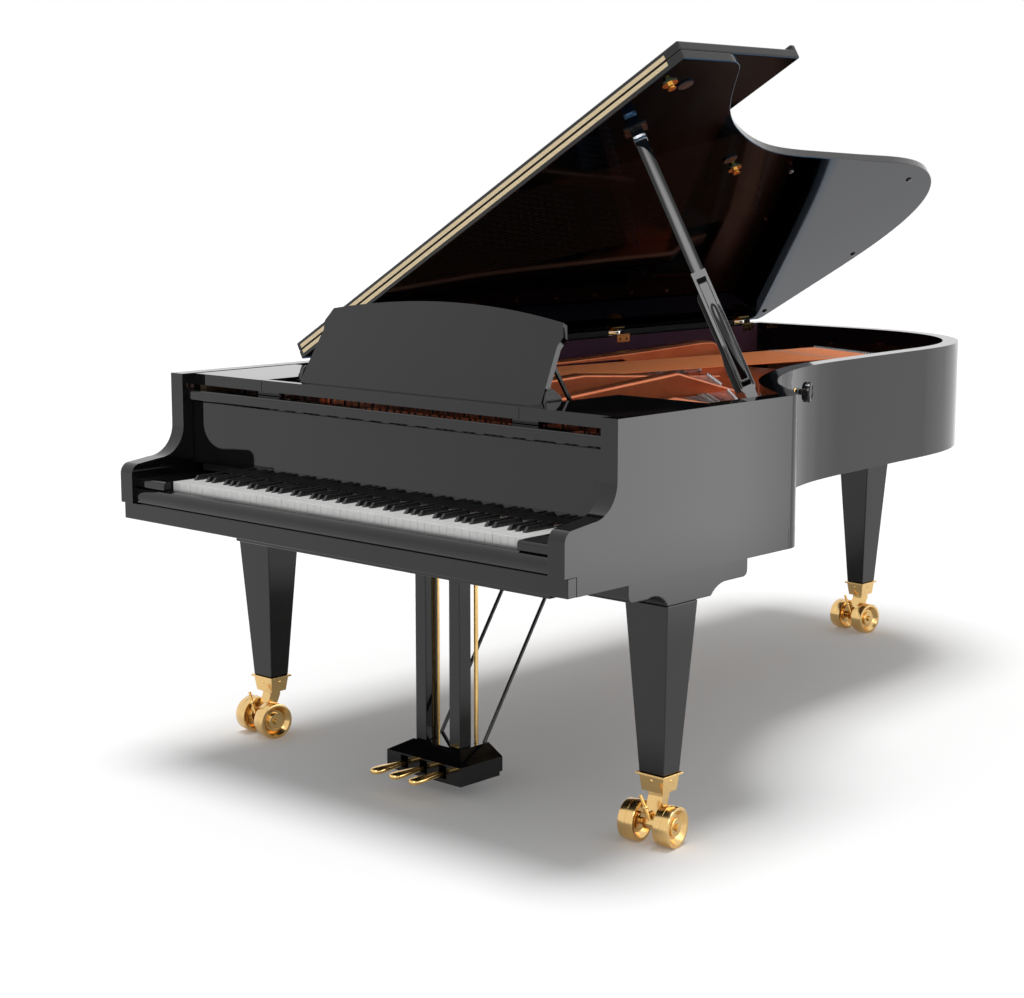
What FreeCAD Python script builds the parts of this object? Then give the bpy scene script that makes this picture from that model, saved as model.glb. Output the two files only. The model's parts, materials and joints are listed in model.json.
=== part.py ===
import FreeCAD, Part
import math
import os

V = FreeCAD.Vector

# Driving dimensions, millimetres and degrees
# X runs to the treble side, Y to the tail, Z up. While modelling, Y is counted from the fronts of the arms.

# Case
case_length = 2800.0
rim_top = 1020.0
rim_wall = 48.0
rim_bottom = 694.0
side_bottom = 650.0
corner_start = 818.0
corner_radius = 75.0
corner_turn = 47.0
# Bent side and tail: shares of the width in from the treble side, and of the length behind the corner
bent_outline = ((0.130, 0.088), (0.208, 0.190), (0.264, 0.316), (0.284, 0.460), (0.295, 0.616),
                (0.323, 0.790), (0.373, 0.870), (0.445, 0.9315), (0.571, 0.982), (0.773, 1.0))
spine_corner_radius = 30.0
arm_depth = 172.0
arm_top = 797.0
arm_corner_radius = 28.0
scroll_radius = 80.0
scroll_rise = 8.0
front_board_setback = 10.0
front_board_thickness = 30.0
inner_rim_wall = 40.0
inner_rim_bottom = 704.0
belly_rail_front = 640.0
belly_rail_depth = 40.0
brace_width = 60.0
brace_height = 80.0
brace_places = (-0.62, -0.30, 0.03, 0.35)

# Key bed
keybed_end = 815.0
slab_bottom = 590.0
slab_inset = 220.0
slab_front = 200.0
slab_wide_front = 330.0

# Keyboard
white_count = 52
white_pitch = 23.5
key_gap = 1.0
key_top = 758.0
key_height = 30.0
key_front = 47.0
key_rear = 440.0
white_head_length = 50.0
black_width = 10.0
black_rise = 12.0
black_length = 95.0
black_taper = 1.5
black_side_gap = 1.6
balance_line = 250.0
rail_gap = 0.3
keyframe_thickness = 12.0
rail_depth = 30.0
key_dip = 10.0
cheek_width = 107.0
slip_top = 736.0
slip_setback = 4.0
slip_bulge = 5.0
slip_bulge_share = 0.42
slip_roll_depth = 21.0
slip_rear_gap = 3.0
block_front = 20.0
block_rear = 200.0
block_edge_radius = 8.0
side_gap = 1.5
key_shift = 3.0
block_gap = 1.0
balance_relief = 1.2

# Hammers
hammer_pivot_y = 475.0
hammer_pivot_z = 827.0
hammer_rail_size = 16.0
shank_length = 125.0
shank_radius = 2.8
hammer_head_height = 42.0
hammer_head_depth = 26.0
hammer_head_width = 8.0

# Fallboard and name board
fall_thickness = 18.0
fall_center_y = 215.0
fall_pivot_z = 790.0
fall_top = 977.0
fall_tail = 8.0
lip_depth = 21.0
lip_height = 31.0
lip_round = 6.0
lip_cove = 10.0
fall_pin_radius = 4.0
fall_pin_depth = 12.0
pin_end_gap = 1.0
running_gap = 0.05
nameboard_front = 232.0
nameboard_thickness = 18.0
nameboard_bottom = 775.0
nameboard_top = 940.0

# Sounding parts
soundboard_top = 888.0
soundboard_thickness = 8.0
rib_width = 22.0
rib_height = 24.0
rib_count = 12
plate_bottom = 905.0
plate_thickness = 14.0
plate_edge_gap = 8.0
plate_foot_width = 20.0
web_bottom = 938.0
web_thickness = 14.0
web_front = 262.0
web_end = 545.0
flange_thickness = 14.0
strut_width = 42.0
strut_places = (0.20, 0.46, 0.72)
strut_peaks = (990.0, 1002.0, 985.0)
strut_rise_share = 0.08
strut_rise_level = 978.0
strut_fall_shares = (0.42, 0.68, 0.45)
strut_tail_rise = 6.0
strut_reach = 1.05
strut_edge_radius = 9.0
pinblock_height = 38.0
tuning_pin_radius = 3.4
tuning_pin_length = 22.0
pin_rows = 3
string_radius = 0.6
string_level = 935.0
bass_string_radius = 1.6
bass_level = 962.0
treble_string_count = 60
bass_string_count = 26
string_gap = 0.3
treble_inset = 90.0
treble_span_share = 0.7285
treble_slant = 22.0
tenor_slant = 170.0
shortest_string = 265.0
longest_string_share = 0.716
string_curve = 0.85
hitch_share = 0.97
bass_inset = 45.0
bass_front_width = 230.0
bass_end_inset = 360.0
bass_end_width = 330.0
bass_end_share = 0.897
bass_end_slope = 0.0535
bass_hitch_share = 0.96
bridge_width = 34.0
bridge_share = 0.86
bass_bridge_share = 0.90
bridge_side_gap = 2.0
hitch_border = 26.0
bolt_radius = 10.0
bolt_top_radius = 7.0
bolt_edge = 16.0
bolt_height = 7.0
bolt_pitch = 190.0
damper_width = 9.0
damper_depth = 60.0
damper_height = 16.0
damper_front = 652.0
first_damper_place = 0.24

# Music desk
shelf_front = 210.0
shelf_bottom = 990.0
shelf_drop = 1.0
shelf_depth = 350.0
shelf_ledge = 40.0
ledge_thickness = 12.0
desk_base_half = 446.0
desk_base_depth = 270.0
desk_base_floor = 7.0
desk_lip_depth = 22.0
cleat_size = 25.0
desk_side_room = 28.0
desk_waist_inset = 14.0
desk_waist_height = 150.0
desk_ear_inset = 5.0
desk_ear_height = 176.0
desk_corner_inset = 21.0
desk_side_height = 212.0
desk_height = 248.0
desk_thickness = 16.0
desk_lean = 29.0
desk_pivot_y = 322.0
desk_floor_gap = 1.0
desk_pin_radius = 3.0
desk_pin_length = 18.0
desk_lug = 11.0
strut_pin_share = 0.44
strut_length = 128.0
strut_bar = 8.0
strut_angle = 55.0
strut_pin_radius = 2.0
desk_strut_inset = 23.0

# Lid
lid_thickness = 24.0
lid_gap = 6.0
lid_overhang = 16.0
lid_angle = 30.0
hinge_pin_radius = 2.6
hinge_height = 3.0
flap_line = 635.0
flap_front = 150.0
flap_lip_depth = 18.0
flap_lip_drop = 14.0
flap_fold_gap = 0.15
leaf_thickness = 1.5
leaf_height = 13.5
knuckle_radius = 1.4
spine_hinge_places = (0.464, 0.711, 0.957)
spine_hinge_length = 64.0
hinge_leaf = 2.0
hinge_drop = 24.0
# Fittings under the lid: distances in from the treble side and back from the flap
catch_spots = ((88.0, 60.0), (480.0, 780.0))
cup_spots = ((88.0, 120.0), (430.0, 700.0))
catch_radius = 20.0
catch_plate = 3.0
stud_radius = 7.0
stud_length = 16.0
stud_head = 5.0
stud_head_radius = 11.0

# Prop
prop_side = 26.0
prop_depth = 34.0
prop_thin_side = 22.0
prop_thin_depth = 28.0
prop_from_side = 80.0
prop_from_corner = 33.0
prop_base_drop = 30.0
prop_pin_radius = 5.0
prop_tip_gap = 0.6
ear_thickness = 6.0
ear_gap = 0.5
ear_drop = 52.0
ear_root = 6.0
bracket_foot = 20.0
bracket_border = 16.0
cup_thickness = 4.0
cup_side = 60.0
prop_fold_x = -0.66
prop_fold_y = 0.751
short_prop_share = 0.34
short_prop_width = 16.0
short_prop_depth = 18.0
short_prop_gap = 0.5
short_pin_radius = 4.0
short_pin_grip = 2.0

# Lock knob
knob_radius = 27.0
knob_thickness = 14.0
knob_edge_radius = 4.0
knob_neck_radius = 6.0
knob_neck_length = 50.0
knob_level = 972.0
knob_reach = 500.0

# Legs and casters
leg_inset = 81.0
leg_center_y = 430.0
leg_top_width = 126.0
leg_top_depth = 112.0
leg_foot_width = 73.0
leg_foot_depth = 61.0
leg_top = 575.0
leg_foot = 166.0
rear_leg_from_spine = 557.0
rear_leg_from_tail = 140.0
block_low = 602.0
block_reach_front = 197.0
block_reach_rear = 247.0
block_end_radius = 16.0
block_rear_flat = 50.0
cap_height = 44.0
cap_rim = 6.0
cap_rim_height = 5.0
cap_taper = 5.0
wheel_radius = 49.0
wheel_width = 42.0
wheel_offset = 47.0
wheel_rim = 9.0
wheel_recess = 12.0
wheel_bevel = 2.5
wheel_rim_slope = 5.0
hub_slope = 4.0
hub_radius = 17.0
axle_radius = 8.0
axle_end = 3.0
caster_trail = 27.0
caster_turn = 8.0
stem_radius = 10.0
stem_depth = 25.0
fork_width = 38.0
fork_plate = 10.0
fork_gap = 1.0
brake_screw_radius = 5.0
brake_wing = 14.0
brake_wing_thickness = 4.0

# Lyre
lyre_x = 20.0
lyre_front = 320.0
lyre_box_width = 262.0
lyre_box_depth = 152.0
lyre_box_bottom = 37.0
lyre_box_side = 87.0
lyre_box_top = 115.0
lyre_slope = 48.0
lyre_plinth_height = 12.0
lyre_plinth_inset = 5.0
post_width = 37.0
post_depth = 42.0
post_spacing = 119.0
post_setback = 52.0
head_height = 30.0
head_width = 240.0
head_front = 10.0
head_rear = 4.0
pedal_spacing = 68.0
pedal_channel = 26.0
pedal_channel_bottom = 50.0
pedal_channel_roof = 4.0
pedal_level = 64.0
pedal_thickness = 10.0
pedal_neck = 15.0
pedal_paddle = 27.0
pedal_reach = 112.0
pedal_pivot_depth = 60.0
pedal_pin_radius = 3.0
rod_radius = 5.5
rod_depth = 122.0
rod_gap = 0.3
rod_hole_gap = 1.0
rod_top_room = 12.0
brace_rod_radius = 5.0
brace_run = 335.0
brace_spread = 76.0

# Values that follow from the driving dimensions
keyboard_half = white_count * white_pitch / 2
inner_half = keyboard_half + key_shift + block_gap + cheek_width
half = inner_half + rim_wall
case_width = 2 * half
key_bottom = key_top - key_height
block_top = key_top
plate_top = plate_bottom + plate_thickness
web_top = web_bottom + web_thickness
shelf_top = rim_top - shelf_drop
lid_bottom = rim_top + lid_gap
lid_top = lid_bottom + lid_thickness
hinge_z = rim_top + hinge_height
slab_half_width = half - slab_inset
leg_center_x = half - leg_inset
leg_block_half = leg_top_width / 2
rear_leg_x = rear_leg_from_spine - half
rear_leg_y = case_length - rear_leg_from_tail
string_front = web_end + flange_thickness
string_run = case_length - string_front
treble_span = treble_span_share * 2 * inner_half
desk_half_width = desk_base_half - desk_side_room
desk_strut_x = desk_half_width - desk_strut_inset
room = 400.0


# General shapes
def box(x0, x1, y0, y1, z0, z1):
    return Part.makeBox(x1 - x0, y1 - y0, z1 - z0, V(x0, y0, z0))


def rod(start, end, radius):
    return Part.makeCylinder(radius, (end - start).Length, start, end - start)


def loop(start, moves, place):
    """Closed face: a move is a point for a line, or a middle point and an end point for an arc."""
    edges = []
    here = place(*start)
    for move in moves + [start]:
        if isinstance(move[0], tuple):
            there = place(*move[1])
            edges.append(Part.Arc(here, place(*move[0]), there).toShape())
        else:
            there = place(*move)
            edges.append(Part.LineSegment(here, there).toShape())
        here = there
    return Part.Face(Part.Wire(edges))


def closed(points):
    return Part.makePolygon(points + points[:1])


def side_profile(start, moves, x0, x1):
    """Solid with a profile of Y and Z, drawn along X."""
    return loop(start, moves, lambda y, z: V(x0, y, z)).extrude(V(x1 - x0, 0, 0))


def plan_profile(start, moves, z0, z1):
    """Solid with a profile of X and Y, drawn along Z."""
    return loop(start, moves, lambda x, y: V(x, y, z0)).extrude(V(0, 0, z1 - z0))


def tapered(width, depth, z0, foot_width, foot_depth, z1, x, y):
    """Four-sided post between two rectangles."""
    wires = []
    for w, d, z in ((width, depth, z0), (foot_width, foot_depth, z1)):
        corners = [V(x + a * w / 2, y + b * d / 2, z) for a, b in ((-1, -1), (1, -1), (1, 1), (-1, 1))]
        wires.append(closed(corners))
    return Part.makeLoft(wires, True, True)


def slab(face, z0, z1):
    lifted = face.copy()
    lifted.translate(V(0, 0, z0))
    return lifted.extrude(V(0, 0, z1 - z0))


def behind(y, z0, z1):
    """Block that holds everything further back than y."""
    return box(-2 * case_width, 2 * case_width, y, 2 * case_length, z0, z1)


def turned(shape, point, axis, angle):
    copy = shape.copy()
    copy.rotate(point, axis, angle)
    return copy


def mirrored(shape):
    return shape.mirror(V(0, 0, 0), V(1, 0, 0))


def pair(shape):
    return [shape, mirrored(shape)]


def one(shape):
    """The single solid of a result, with its split faces joined."""
    return shape.removeSplitter().Solids[0]


def origin():
    """Middle of the floor space of the piano, with the lid open and its flap folded back."""
    stack = 2 * lid_top + 2 * flap_fold_gap - lid_bottom + flap_lip_drop - hinge_z
    return V(-stack * math.sin(math.radians(lid_angle)) / 2, (case_length + lid_overhang) / 2, 0)


def save(name, *solids):
    shape = solids[0] if len(solids) == 1 else Part.makeCompound(list(solids))
    shape = shape.copy()
    shape.translate(origin() * -1)
    shape.exportStep("parts/" + name + ".step")


# Plan of the case
def segment(start, end):
    return Part.LineSegment(start, end).toShape()


def smooth(points, first, last):
    """Curve through points, with a given direction at each end."""
    curve = Part.BSplineCurve()
    curve.interpolate(Points=points, InitialTangent=first, FinalTangent=last, Scale=False)
    return curve


def bent_points():
    """Points of the bent side and the tail, from the end of the treble corner."""
    turn = math.radians(corner_turn)
    inward, back = corner_radius * (1 - math.cos(turn)), corner_radius * math.sin(turn)
    end = V(half - inward, corner_start + back, 0)
    points = [end]
    for across, back in bent_outline:
        points.append(V(half - across * case_width, end.y + back * (case_length - end.y), 0))
    return points


def bent_side(inset):
    """Curve from the treble corner round the tail, moved into the case by the inset."""
    turn = math.radians(corner_turn)
    first, last = V(-math.sin(turn), math.cos(turn), 0), V(-1, 0, 0)
    points = bent_points()
    base = smooth(points, first, last)
    shifted = []
    for point in points:
        along = base.tangent(base.parameter(point))[0]
        shifted.append(point + V(-along.y, along.x, 0) * inset)
    return smooth(shifted, first, last)


def sharp_ends(curve, side, tail):
    """Edges before and after the bent side, with square corners, running past the treble side."""
    along = curve.tangent(curve.FirstParameter)[0]
    outside = curve.StartPoint - along * room
    front = V(outside.x, -room, 0)
    corner = V(-side, tail, 0)
    before = [segment(front, outside), segment(outside, curve.StartPoint)]
    spine_front = V(-side, -room, 0)
    after = [segment(curve.EndPoint, corner), segment(corner, spine_front), segment(spine_front, front)]
    return before, after


def round_ends(curve, side, tail, outset):
    """Edges before and after the bent side, with round corners at the treble side and the spine."""
    turn = math.radians(corner_turn)
    r = corner_radius + outset
    start = V(side, corner_start, 0)
    middle = V(side - r * (1 - math.cos(turn / 2)), corner_start + r * math.sin(turn / 2), 0)
    s = spine_corner_radius + outset
    near = s * (1 - math.sqrt(0.5))
    tail_end = V(-side + s, tail, 0)
    spine = V(-side, tail - s, 0)
    front = V(side, -room, 0)
    before = [segment(front, start), Part.Arc(start, middle, curve.StartPoint).toShape()]
    spine_front = V(-side, -room, 0)
    corner = Part.Arc(tail_end, V(-side + near, tail - near, 0), spine).toShape()
    after = [segment(curve.EndPoint, tail_end), corner]
    after += [segment(spine, spine_front), segment(spine_front, front)]
    return before, after


def plan_block(inset, z0, z1):
    """All inside the outline of the case, moved in by the inset and drawn out in front of the arms."""
    side, tail = half - inset, case_length - inset
    curve = bent_side(inset)
    if inset > 0:
        before, after = sharp_ends(curve, side, tail)
    else:
        before, after = round_ends(curve, side, tail, -inset)
    block = slab(Part.Face(Part.Wire(before + [curve.toShape()] + after)), z0, z1)
    return block.common(box(-side, side, -room, tail, z0, z1))


def band(inset, width, z0, z1):
    """Strip of constant width that follows the inside of the case."""
    return plan_block(inset, z0, z1).cut(plan_block(inset + width, z0 - room, z1 + room))


# Case
def arm_scroll():
    """Space above the arms: front corner, gentle rise, then the hollow scroll up to the rim."""
    low = arm_top + scroll_rise
    r = arm_corner_radius
    near = r * (1 - math.sqrt(0.5))
    turn_y = arm_depth - scroll_radius
    middle = (turn_y + scroll_radius * math.sqrt(0.5), low + scroll_radius * (1 - math.sqrt(0.5)))
    high = rim_top + room
    moves = [
        (0.0, arm_top - r),
        ((near, arm_top - near), (r, arm_top)),
        (turn_y, low),
        (middle, (arm_depth, low + scroll_radius)),
        (arm_depth, high),
        (-room, high),
    ]
    return side_profile((-room, arm_top - r), moves, -case_width, case_width)


def fall_pin_line(x):
    return V(x, fall_center_y, fall_pivot_z)


def case_rim():
    rim = band(0.0, rim_wall, rim_bottom, rim_top).common(behind(0.0, 0.0, rim_top + room))
    skirt_front = front_board_setback + front_board_thickness
    skirt = box(inner_half, half, skirt_front, corner_start, side_bottom, rim_bottom)
    for piece in pair(skirt):
        rim = rim.fuse(piece)
    rim = rim.cut(arm_scroll())
    for side in (-1, 1):
        inside = fall_pin_line(side * (inner_half - room))
        bottom = fall_pin_line(side * (inner_half + fall_pin_depth))
        rim = rim.cut(rod(inside, bottom, fall_pin_radius + running_gap))
    neck = rod(knob_place(knob_neck_radius), knob_place(-2 * rim_wall), knob_neck_radius + running_gap)
    rim = rim.cut(neck)
    return one(rim)


def inner_rim():
    ring = band(rim_wall, inner_rim_wall, inner_rim_bottom, soundboard_top - soundboard_thickness)
    return one(ring.common(behind(belly_rail_front + belly_rail_depth, 0.0, rim_top)))


def back_braces():
    """Belly rail across the case, and beams from it to the inner rim."""
    top = soundboard_top - soundboard_thickness
    rail = box(-inner_half, inner_half, belly_rail_front, belly_rail_front + belly_rail_depth,
               inner_rim_bottom, top)
    space = plan_block(rim_wall + inner_rim_wall, inner_rim_bottom, inner_rim_bottom + brace_height)
    space = space.common(behind(belly_rail_front + belly_rail_depth, 0.0, rim_top))
    beams = []
    for place in brace_places:
        x = place * half
        beam = box(x - brace_width / 2, x + brace_width / 2, 0.0, case_length, 0.0, rim_top)
        beams.append(one(beam.common(space)))
    return [rail] + beams


def front_board():
    y0 = front_board_setback
    return box(-half, half, y0, y0 + front_board_thickness, side_bottom, rim_bottom)


def keybed():
    y0 = front_board_setback + front_board_thickness
    bed = box(-inner_half, inner_half, y0, keybed_end, side_bottom, rim_bottom)
    lower = box(-slab_half_width, slab_half_width, slab_front, keybed_end, slab_bottom, side_bottom)
    wide = leg_center_x - leg_block_half
    rear = box(-wide, wide, slab_wide_front, keybed_end, slab_bottom, side_bottom)
    return one(bed.fuse([lower, rear]))


def key_slip():
    """Board in front of the keys, with a rolled front from its foot to its top."""
    rear = key_front - slip_rear_gap
    y0 = front_board_setback + slip_setback
    bulge = (y0 - slip_bulge, rim_bottom + slip_bulge_share * (slip_top - rim_bottom))
    moves = [
        (y0, rim_bottom),
        (bulge, (y0 + slip_roll_depth, slip_top)),
        (rear, slip_top),
    ]
    return side_profile((rear, rim_bottom), moves, -inner_half, inner_half)


def key_blocks():
    """Low blocks between the keyboard and the arms, with a rounded front edge."""
    r = block_edge_radius
    near = r * (1 - math.sqrt(0.5))
    rear_of_slip = key_front - slip_rear_gap
    moves = [
        (block_rear, block_top),
        (block_front + r, block_top),
        ((block_front + near, block_top - near), (block_front, block_top - r)),
        (block_front, slip_top),
        (rear_of_slip, slip_top),
        (rear_of_slip, rim_bottom),
    ]
    return pair(side_profile((block_rear, rim_bottom), moves, inner_half - cheek_width, inner_half))


def nameboard():
    return box(-inner_half, inner_half, nameboard_front, nameboard_front + nameboard_thickness,
               nameboard_bottom, nameboard_top)


# Sounding parts
def soundboard():
    board = plan_block(rim_wall, soundboard_top - soundboard_thickness, soundboard_top)
    return one(board.common(behind(belly_rail_front, 0.0, rim_top)))


def soundboard_ribs():
    """Bars under the soundboard, square to the strings."""
    top = soundboard_top - soundboard_thickness
    space = plan_block(rim_wall + inner_rim_wall, top - rib_height, top)
    first = belly_rail_front + belly_rail_depth + 3 * rib_width
    step = (case_length - rim_wall - inner_rim_wall - 2 * rib_width - first) / (rib_count - 1)
    ribs = []
    for index in range(rib_count):
        y = first + index * step
        bar = box(-half, half, y - rib_width / 2, y + rib_width / 2, 0.0, rim_top)
        ribs += [one(bar.common(space))]
    return ribs


def string_start(place):
    """Place 0 is the highest note and 1 the lowest plain string."""
    return V(inner_half - treble_inset - place * treble_span, string_front, 0)


def string_end(place):
    """The strings get longer and more slanting towards the low notes."""
    start = string_start(place)
    growth = longest_string_share * string_run - shortest_string
    length = shortest_string + growth * place ** string_curve
    return V(start.x - treble_slant - tenor_slant * place, start.y + length, 0)


def string_point(place, share):
    return string_start(place) + (string_end(place) - string_start(place)) * share


def bass_start(place):
    return V(-inner_half + bass_inset + bass_front_width * place, string_front, 0)


def bass_end(place):
    x = -inner_half + bass_end_inset + bass_end_width * place
    return V(x, string_front + string_run * (bass_end_share - bass_end_slope * place), 0)


def bass_point(place, share):
    return bass_start(place) + (bass_end(place) - bass_start(place)) * share


def at_height(point, z):
    return V(point.x, point.y, z)


def strip(points, width, z0, z1):
    """Upright strip along a smooth curve in plan."""
    curve = Part.BSplineCurve()
    curve.interpolate(points)
    rails = []
    for side in (-1, 1):
        edge = []
        for point in points:
            along = curve.tangent(curve.parameter(point))[0]
            edge.append(point + V(-along.y, along.x, 0) * (side * width / 2))
        line = Part.BSplineCurve()
        line.interpolate(edge)
        rails.append(line)
    ends = [Part.LineSegment(rails[0].EndPoint, rails[1].EndPoint).toShape(),
            Part.LineSegment(rails[1].StartPoint, rails[0].StartPoint).toShape()]
    face = Part.Face(Part.Wire(Part.__sortEdges__([rails[0].toShape(), rails[1].toShape()] + ends)))
    return slab(face, z0, z1)


def strut_line(place):
    """Ends of a plate bar in plan, in line with the strings beside it."""
    return string_start(place) - V(0, flange_thickness / 2, 0), string_point(place, strut_reach)


def strut_bar_solid(place, width, outline):
    """Bar over a line of the plate, from its side outline of shares of the length and heights."""
    start, end = strut_line(place)
    along = (end - start).normalize()
    across = V(-along.y, along.x, 0) * width
    points = [at_height(start + (end - start) * share - across / 2, z) for share, z in outline]
    return Part.Face(closed(points)).extrude(across)


def strut_room(place):
    """Upright block a little wider than a plate bar."""
    outline = [(0.0, 0.0), (0.0, rim_top), (1.0, rim_top), (1.0, 0.0)]
    return strut_bar_solid(place, strut_width + 2 * bridge_side_gap, outline)


def plate_strut(place, peak, fall_share):
    """Plate bar with rounded upper edges, which rises behind the flange and falls to the hitch line."""
    tail = plate_top + strut_tail_rise
    outline = [(0.0, plate_bottom), (0.0, web_top), (strut_rise_share, strut_rise_level), (fall_share, peak),
               (1.0, tail), (1.0, plate_bottom)]
    bar = strut_bar_solid(place, strut_width, outline)
    start, end = strut_line(place)
    along = (end - start).normalize()
    upper = []
    for edge in bar.Edges:
        low = min(vertex.Z for vertex in edge.Vertexes)
        lengthwise = abs(edge.tangentAt(edge.FirstParameter).dot(along)) > 0.5
        if lengthwise and low > plate_bottom + strut_tail_rise:
            upper.append(edge)
    return bar.makeFillet(strut_edge_radius, upper)


def string_opening():
    """Gap in the plate over the soundboard, from the flange to the hitch line of the plain strings."""
    y0 = string_front
    reach = [string_point(place, hitch_share) for place in (0.0, 0.25, 0.5, 0.75, 1.0)]
    reach[0] = reach[0] + V(hitch_border, 0, 0)
    curve = Part.BSplineCurve()
    curve.interpolate(reach)
    right = V(reach[0].x, y0, 0)
    left = V(-inner_half + plate_edge_gap + 2 * hitch_border, y0, 0)
    far = V(left.x, reach[-1].y, 0)
    edges = [
        Part.LineSegment(right, reach[0]).toShape(),
        curve.toShape(),
        Part.LineSegment(reach[-1], far).toShape(),
        Part.LineSegment(far, left).toShape(),
        Part.LineSegment(left, right).toShape(),
    ]
    return Part.Face(Part.Wire(edges))


def bass_opening():
    """Gap in the plate at the tail, over the bass bridge."""
    y0 = bass_point(1.0, bass_bridge_share).y - bridge_width
    low, high = bass_point(0.0, bass_hitch_share), bass_point(1.0, bass_hitch_share)
    left = -inner_half + plate_edge_gap + 3 * hitch_border
    right = high.x + hitch_border
    corners = [V(left, y0, 0), V(right, y0, 0), V(right, high.y, 0), low, V(left, low.y, 0)]
    return Part.Face(closed(corners))


def iron_plate():
    edge = rim_wall + plate_edge_gap
    body = plan_block(edge, plate_bottom, plate_top).common(behind(web_end, 0.0, rim_top))
    body = body.cut(slab(string_opening(), plate_bottom, plate_top))
    body = body.cut(slab(bass_opening(), plate_bottom, plate_top))
    foot = band(edge, plate_foot_width, soundboard_top, plate_bottom)
    foot = foot.common(behind(belly_rail_front, 0.0, rim_top))
    side = inner_half - plate_edge_gap
    web = box(-side, side, web_front, web_end, web_bottom, web_top)
    flange = box(-side, side, web_end, web_end + flange_thickness, plate_bottom, web_top)
    bars = [plate_strut(*sizes) for sizes in zip(strut_places, strut_peaks, strut_fall_shares)]
    return one(body.fuse([foot, web, flange] + bars))


def plate_bolts():
    """Domed bolt heads round the edge of the plate."""
    inset = rim_wall + plate_edge_gap + bolt_edge
    bent = bent_side(inset).toShape()
    count = int(bent.Length / bolt_pitch)
    places = bent.discretize(Number=count)[1:]
    spine_y = case_length - inset - bolt_pitch
    while spine_y > web_end + bolt_pitch / 2:
        places.append(V(-half + inset, spine_y, 0))
        spine_y -= bolt_pitch
    bolts = []
    for place in places:
        bolts.append(Part.makeCone(bolt_radius, bolt_top_radius, bolt_height, at_height(place, plate_top)))
    return bolts


def pinblock():
    return box(-inner_half, inner_half, web_front, web_end, web_bottom - pinblock_height, web_bottom)


def tuning_pins():
    """Square-headed pins in slanting rows on the front of the plate, one column for each string."""
    pins = []
    columns = [string_start(index / (treble_string_count - 1)).x for index in range(treble_string_count)]
    columns += [bass_start(index / (bass_string_count - 1)).x for index in range(bass_string_count)]
    row_step = (web_end - web_front) / (pin_rows + 2)
    for index, x in enumerate(columns):
        y = web_end - row_step * (1 + index % pin_rows)
        pins.append(Part.makeCylinder(tuning_pin_radius, tuning_pin_length, V(x, y, web_top)))
    return pins


def clear_of_struts(place):
    return min(abs(place - strut) for strut in strut_places) * treble_span > strut_width


def treble_places():
    places = [index / (treble_string_count - 1) for index in range(treble_string_count)]
    return [place for place in places if clear_of_struts(place)]


def treble_strings():
    strings = []
    for place in treble_places():
        start = at_height(string_start(place) + V(0, string_gap, 0), string_level)
        strings.append(rod(start, at_height(string_end(place), string_level), string_radius))
    return strings


def bass_places():
    return [index / (bass_string_count - 1) for index in range(bass_string_count)]


def bass_strings():
    strings = []
    for place in bass_places():
        start = at_height(bass_start(place) + V(0, string_gap, 0), bass_level)
        strings.append(rod(start, at_height(bass_end(place), bass_level), bass_string_radius))
    return strings


def bridges():
    """Long bridge in lengths between the plate's bars, and the taller bass bridge."""
    line = [string_point(place, bridge_share) for place in (0.02, 0.25, 0.5, 0.75, 0.98)]
    long_bridge = strip(line, bridge_width, soundboard_top, string_level - string_radius - string_gap)
    long_bridge = long_bridge.cut([strut_room(place) for place in strut_places])
    bass_line = [bass_point(place, bass_bridge_share) for place in (0.0, 0.5, 1.0)]
    top = bass_level - bass_string_radius - string_gap
    bass_bridge = strip(bass_line, bridge_width, soundboard_top, top)
    return list(long_bridge.Solids) + list(bass_bridge.Solids)


def dampers():
    """Felted blocks that lie on the strings, a short way behind the flange."""
    blocks = []
    for place in treble_places():
        if place > first_damper_place:
            share = (damper_front - string_front) / (string_end(place).y - string_front)
            blocks.append((string_point(place, share), string_level + string_radius + string_gap))
    for place in bass_places():
        share = (damper_front - string_front) / (bass_end(place).y - string_front)
        blocks.append((bass_point(place, share), bass_level + bass_string_radius + string_gap))
    solids = []
    for point, z in blocks:
        solids.append(box(point.x - damper_width / 2, point.x + damper_width / 2, damper_front,
                          damper_front + damper_depth, z, z + damper_height))
    return solids


# Keyboard
def white_left(index):
    return -keyboard_half + index * white_pitch


def black_centers():
    """Middle of each black key: in a group of seven white keys, two gaps have none."""
    centers = []
    for index in range(white_count - 1):
        if index % 7 not in (1, 4):
            centers.append(white_left(index + 1))
    return centers


def white_keys():
    slots = [box(center - black_width / 2 - black_side_gap, center + black_width / 2 + black_side_gap,
                 key_front + white_head_length, key_rear + room, key_bottom - room, key_top + room)
             for center in black_centers()]
    keys = []
    for index in range(white_count):
        x = white_left(index)
        key = box(x + key_gap / 2, x + white_pitch - key_gap / 2, key_front, key_rear, key_bottom, key_top)
        near = [slot for slot in slots if abs(slot.BoundBox.Center.x - x - white_pitch / 2) < white_pitch]
        keys.append(one(key.cut(Part.makeCompound(near))) if near else key)
    return keys


def black_keys():
    """Bars with a raised, tapering head and a sloping front."""
    keys = []
    front = key_front + white_head_length + black_side_gap
    top = key_top + black_rise
    slope = 0.9 * black_rise
    for center in black_centers():
        x0, x1 = center - black_width / 2, center + black_width / 2
        moves = [
            (front, key_top),
            (front + slope, top),
            (front + black_length, top),
            (front + black_length, key_top),
            (key_rear, key_top),
            (key_rear, key_bottom),
        ]
        bar = side_profile((front, key_bottom), moves, x0, x1)
        wedge = [(x1, top), (x1 - black_taper, top)]
        start = front - black_rise
        wedge_face = loop((x1, key_top), wedge, lambda x, z: V(x, start, z))
        cut = wedge_face.extrude(V(0, black_length + 2 * black_rise, 0))
        other = cut.mirror(V(center, 0, 0), V(1, 0, 0))
        keys.append(one(bar.cut([cut, other])))
    return keys


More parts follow.
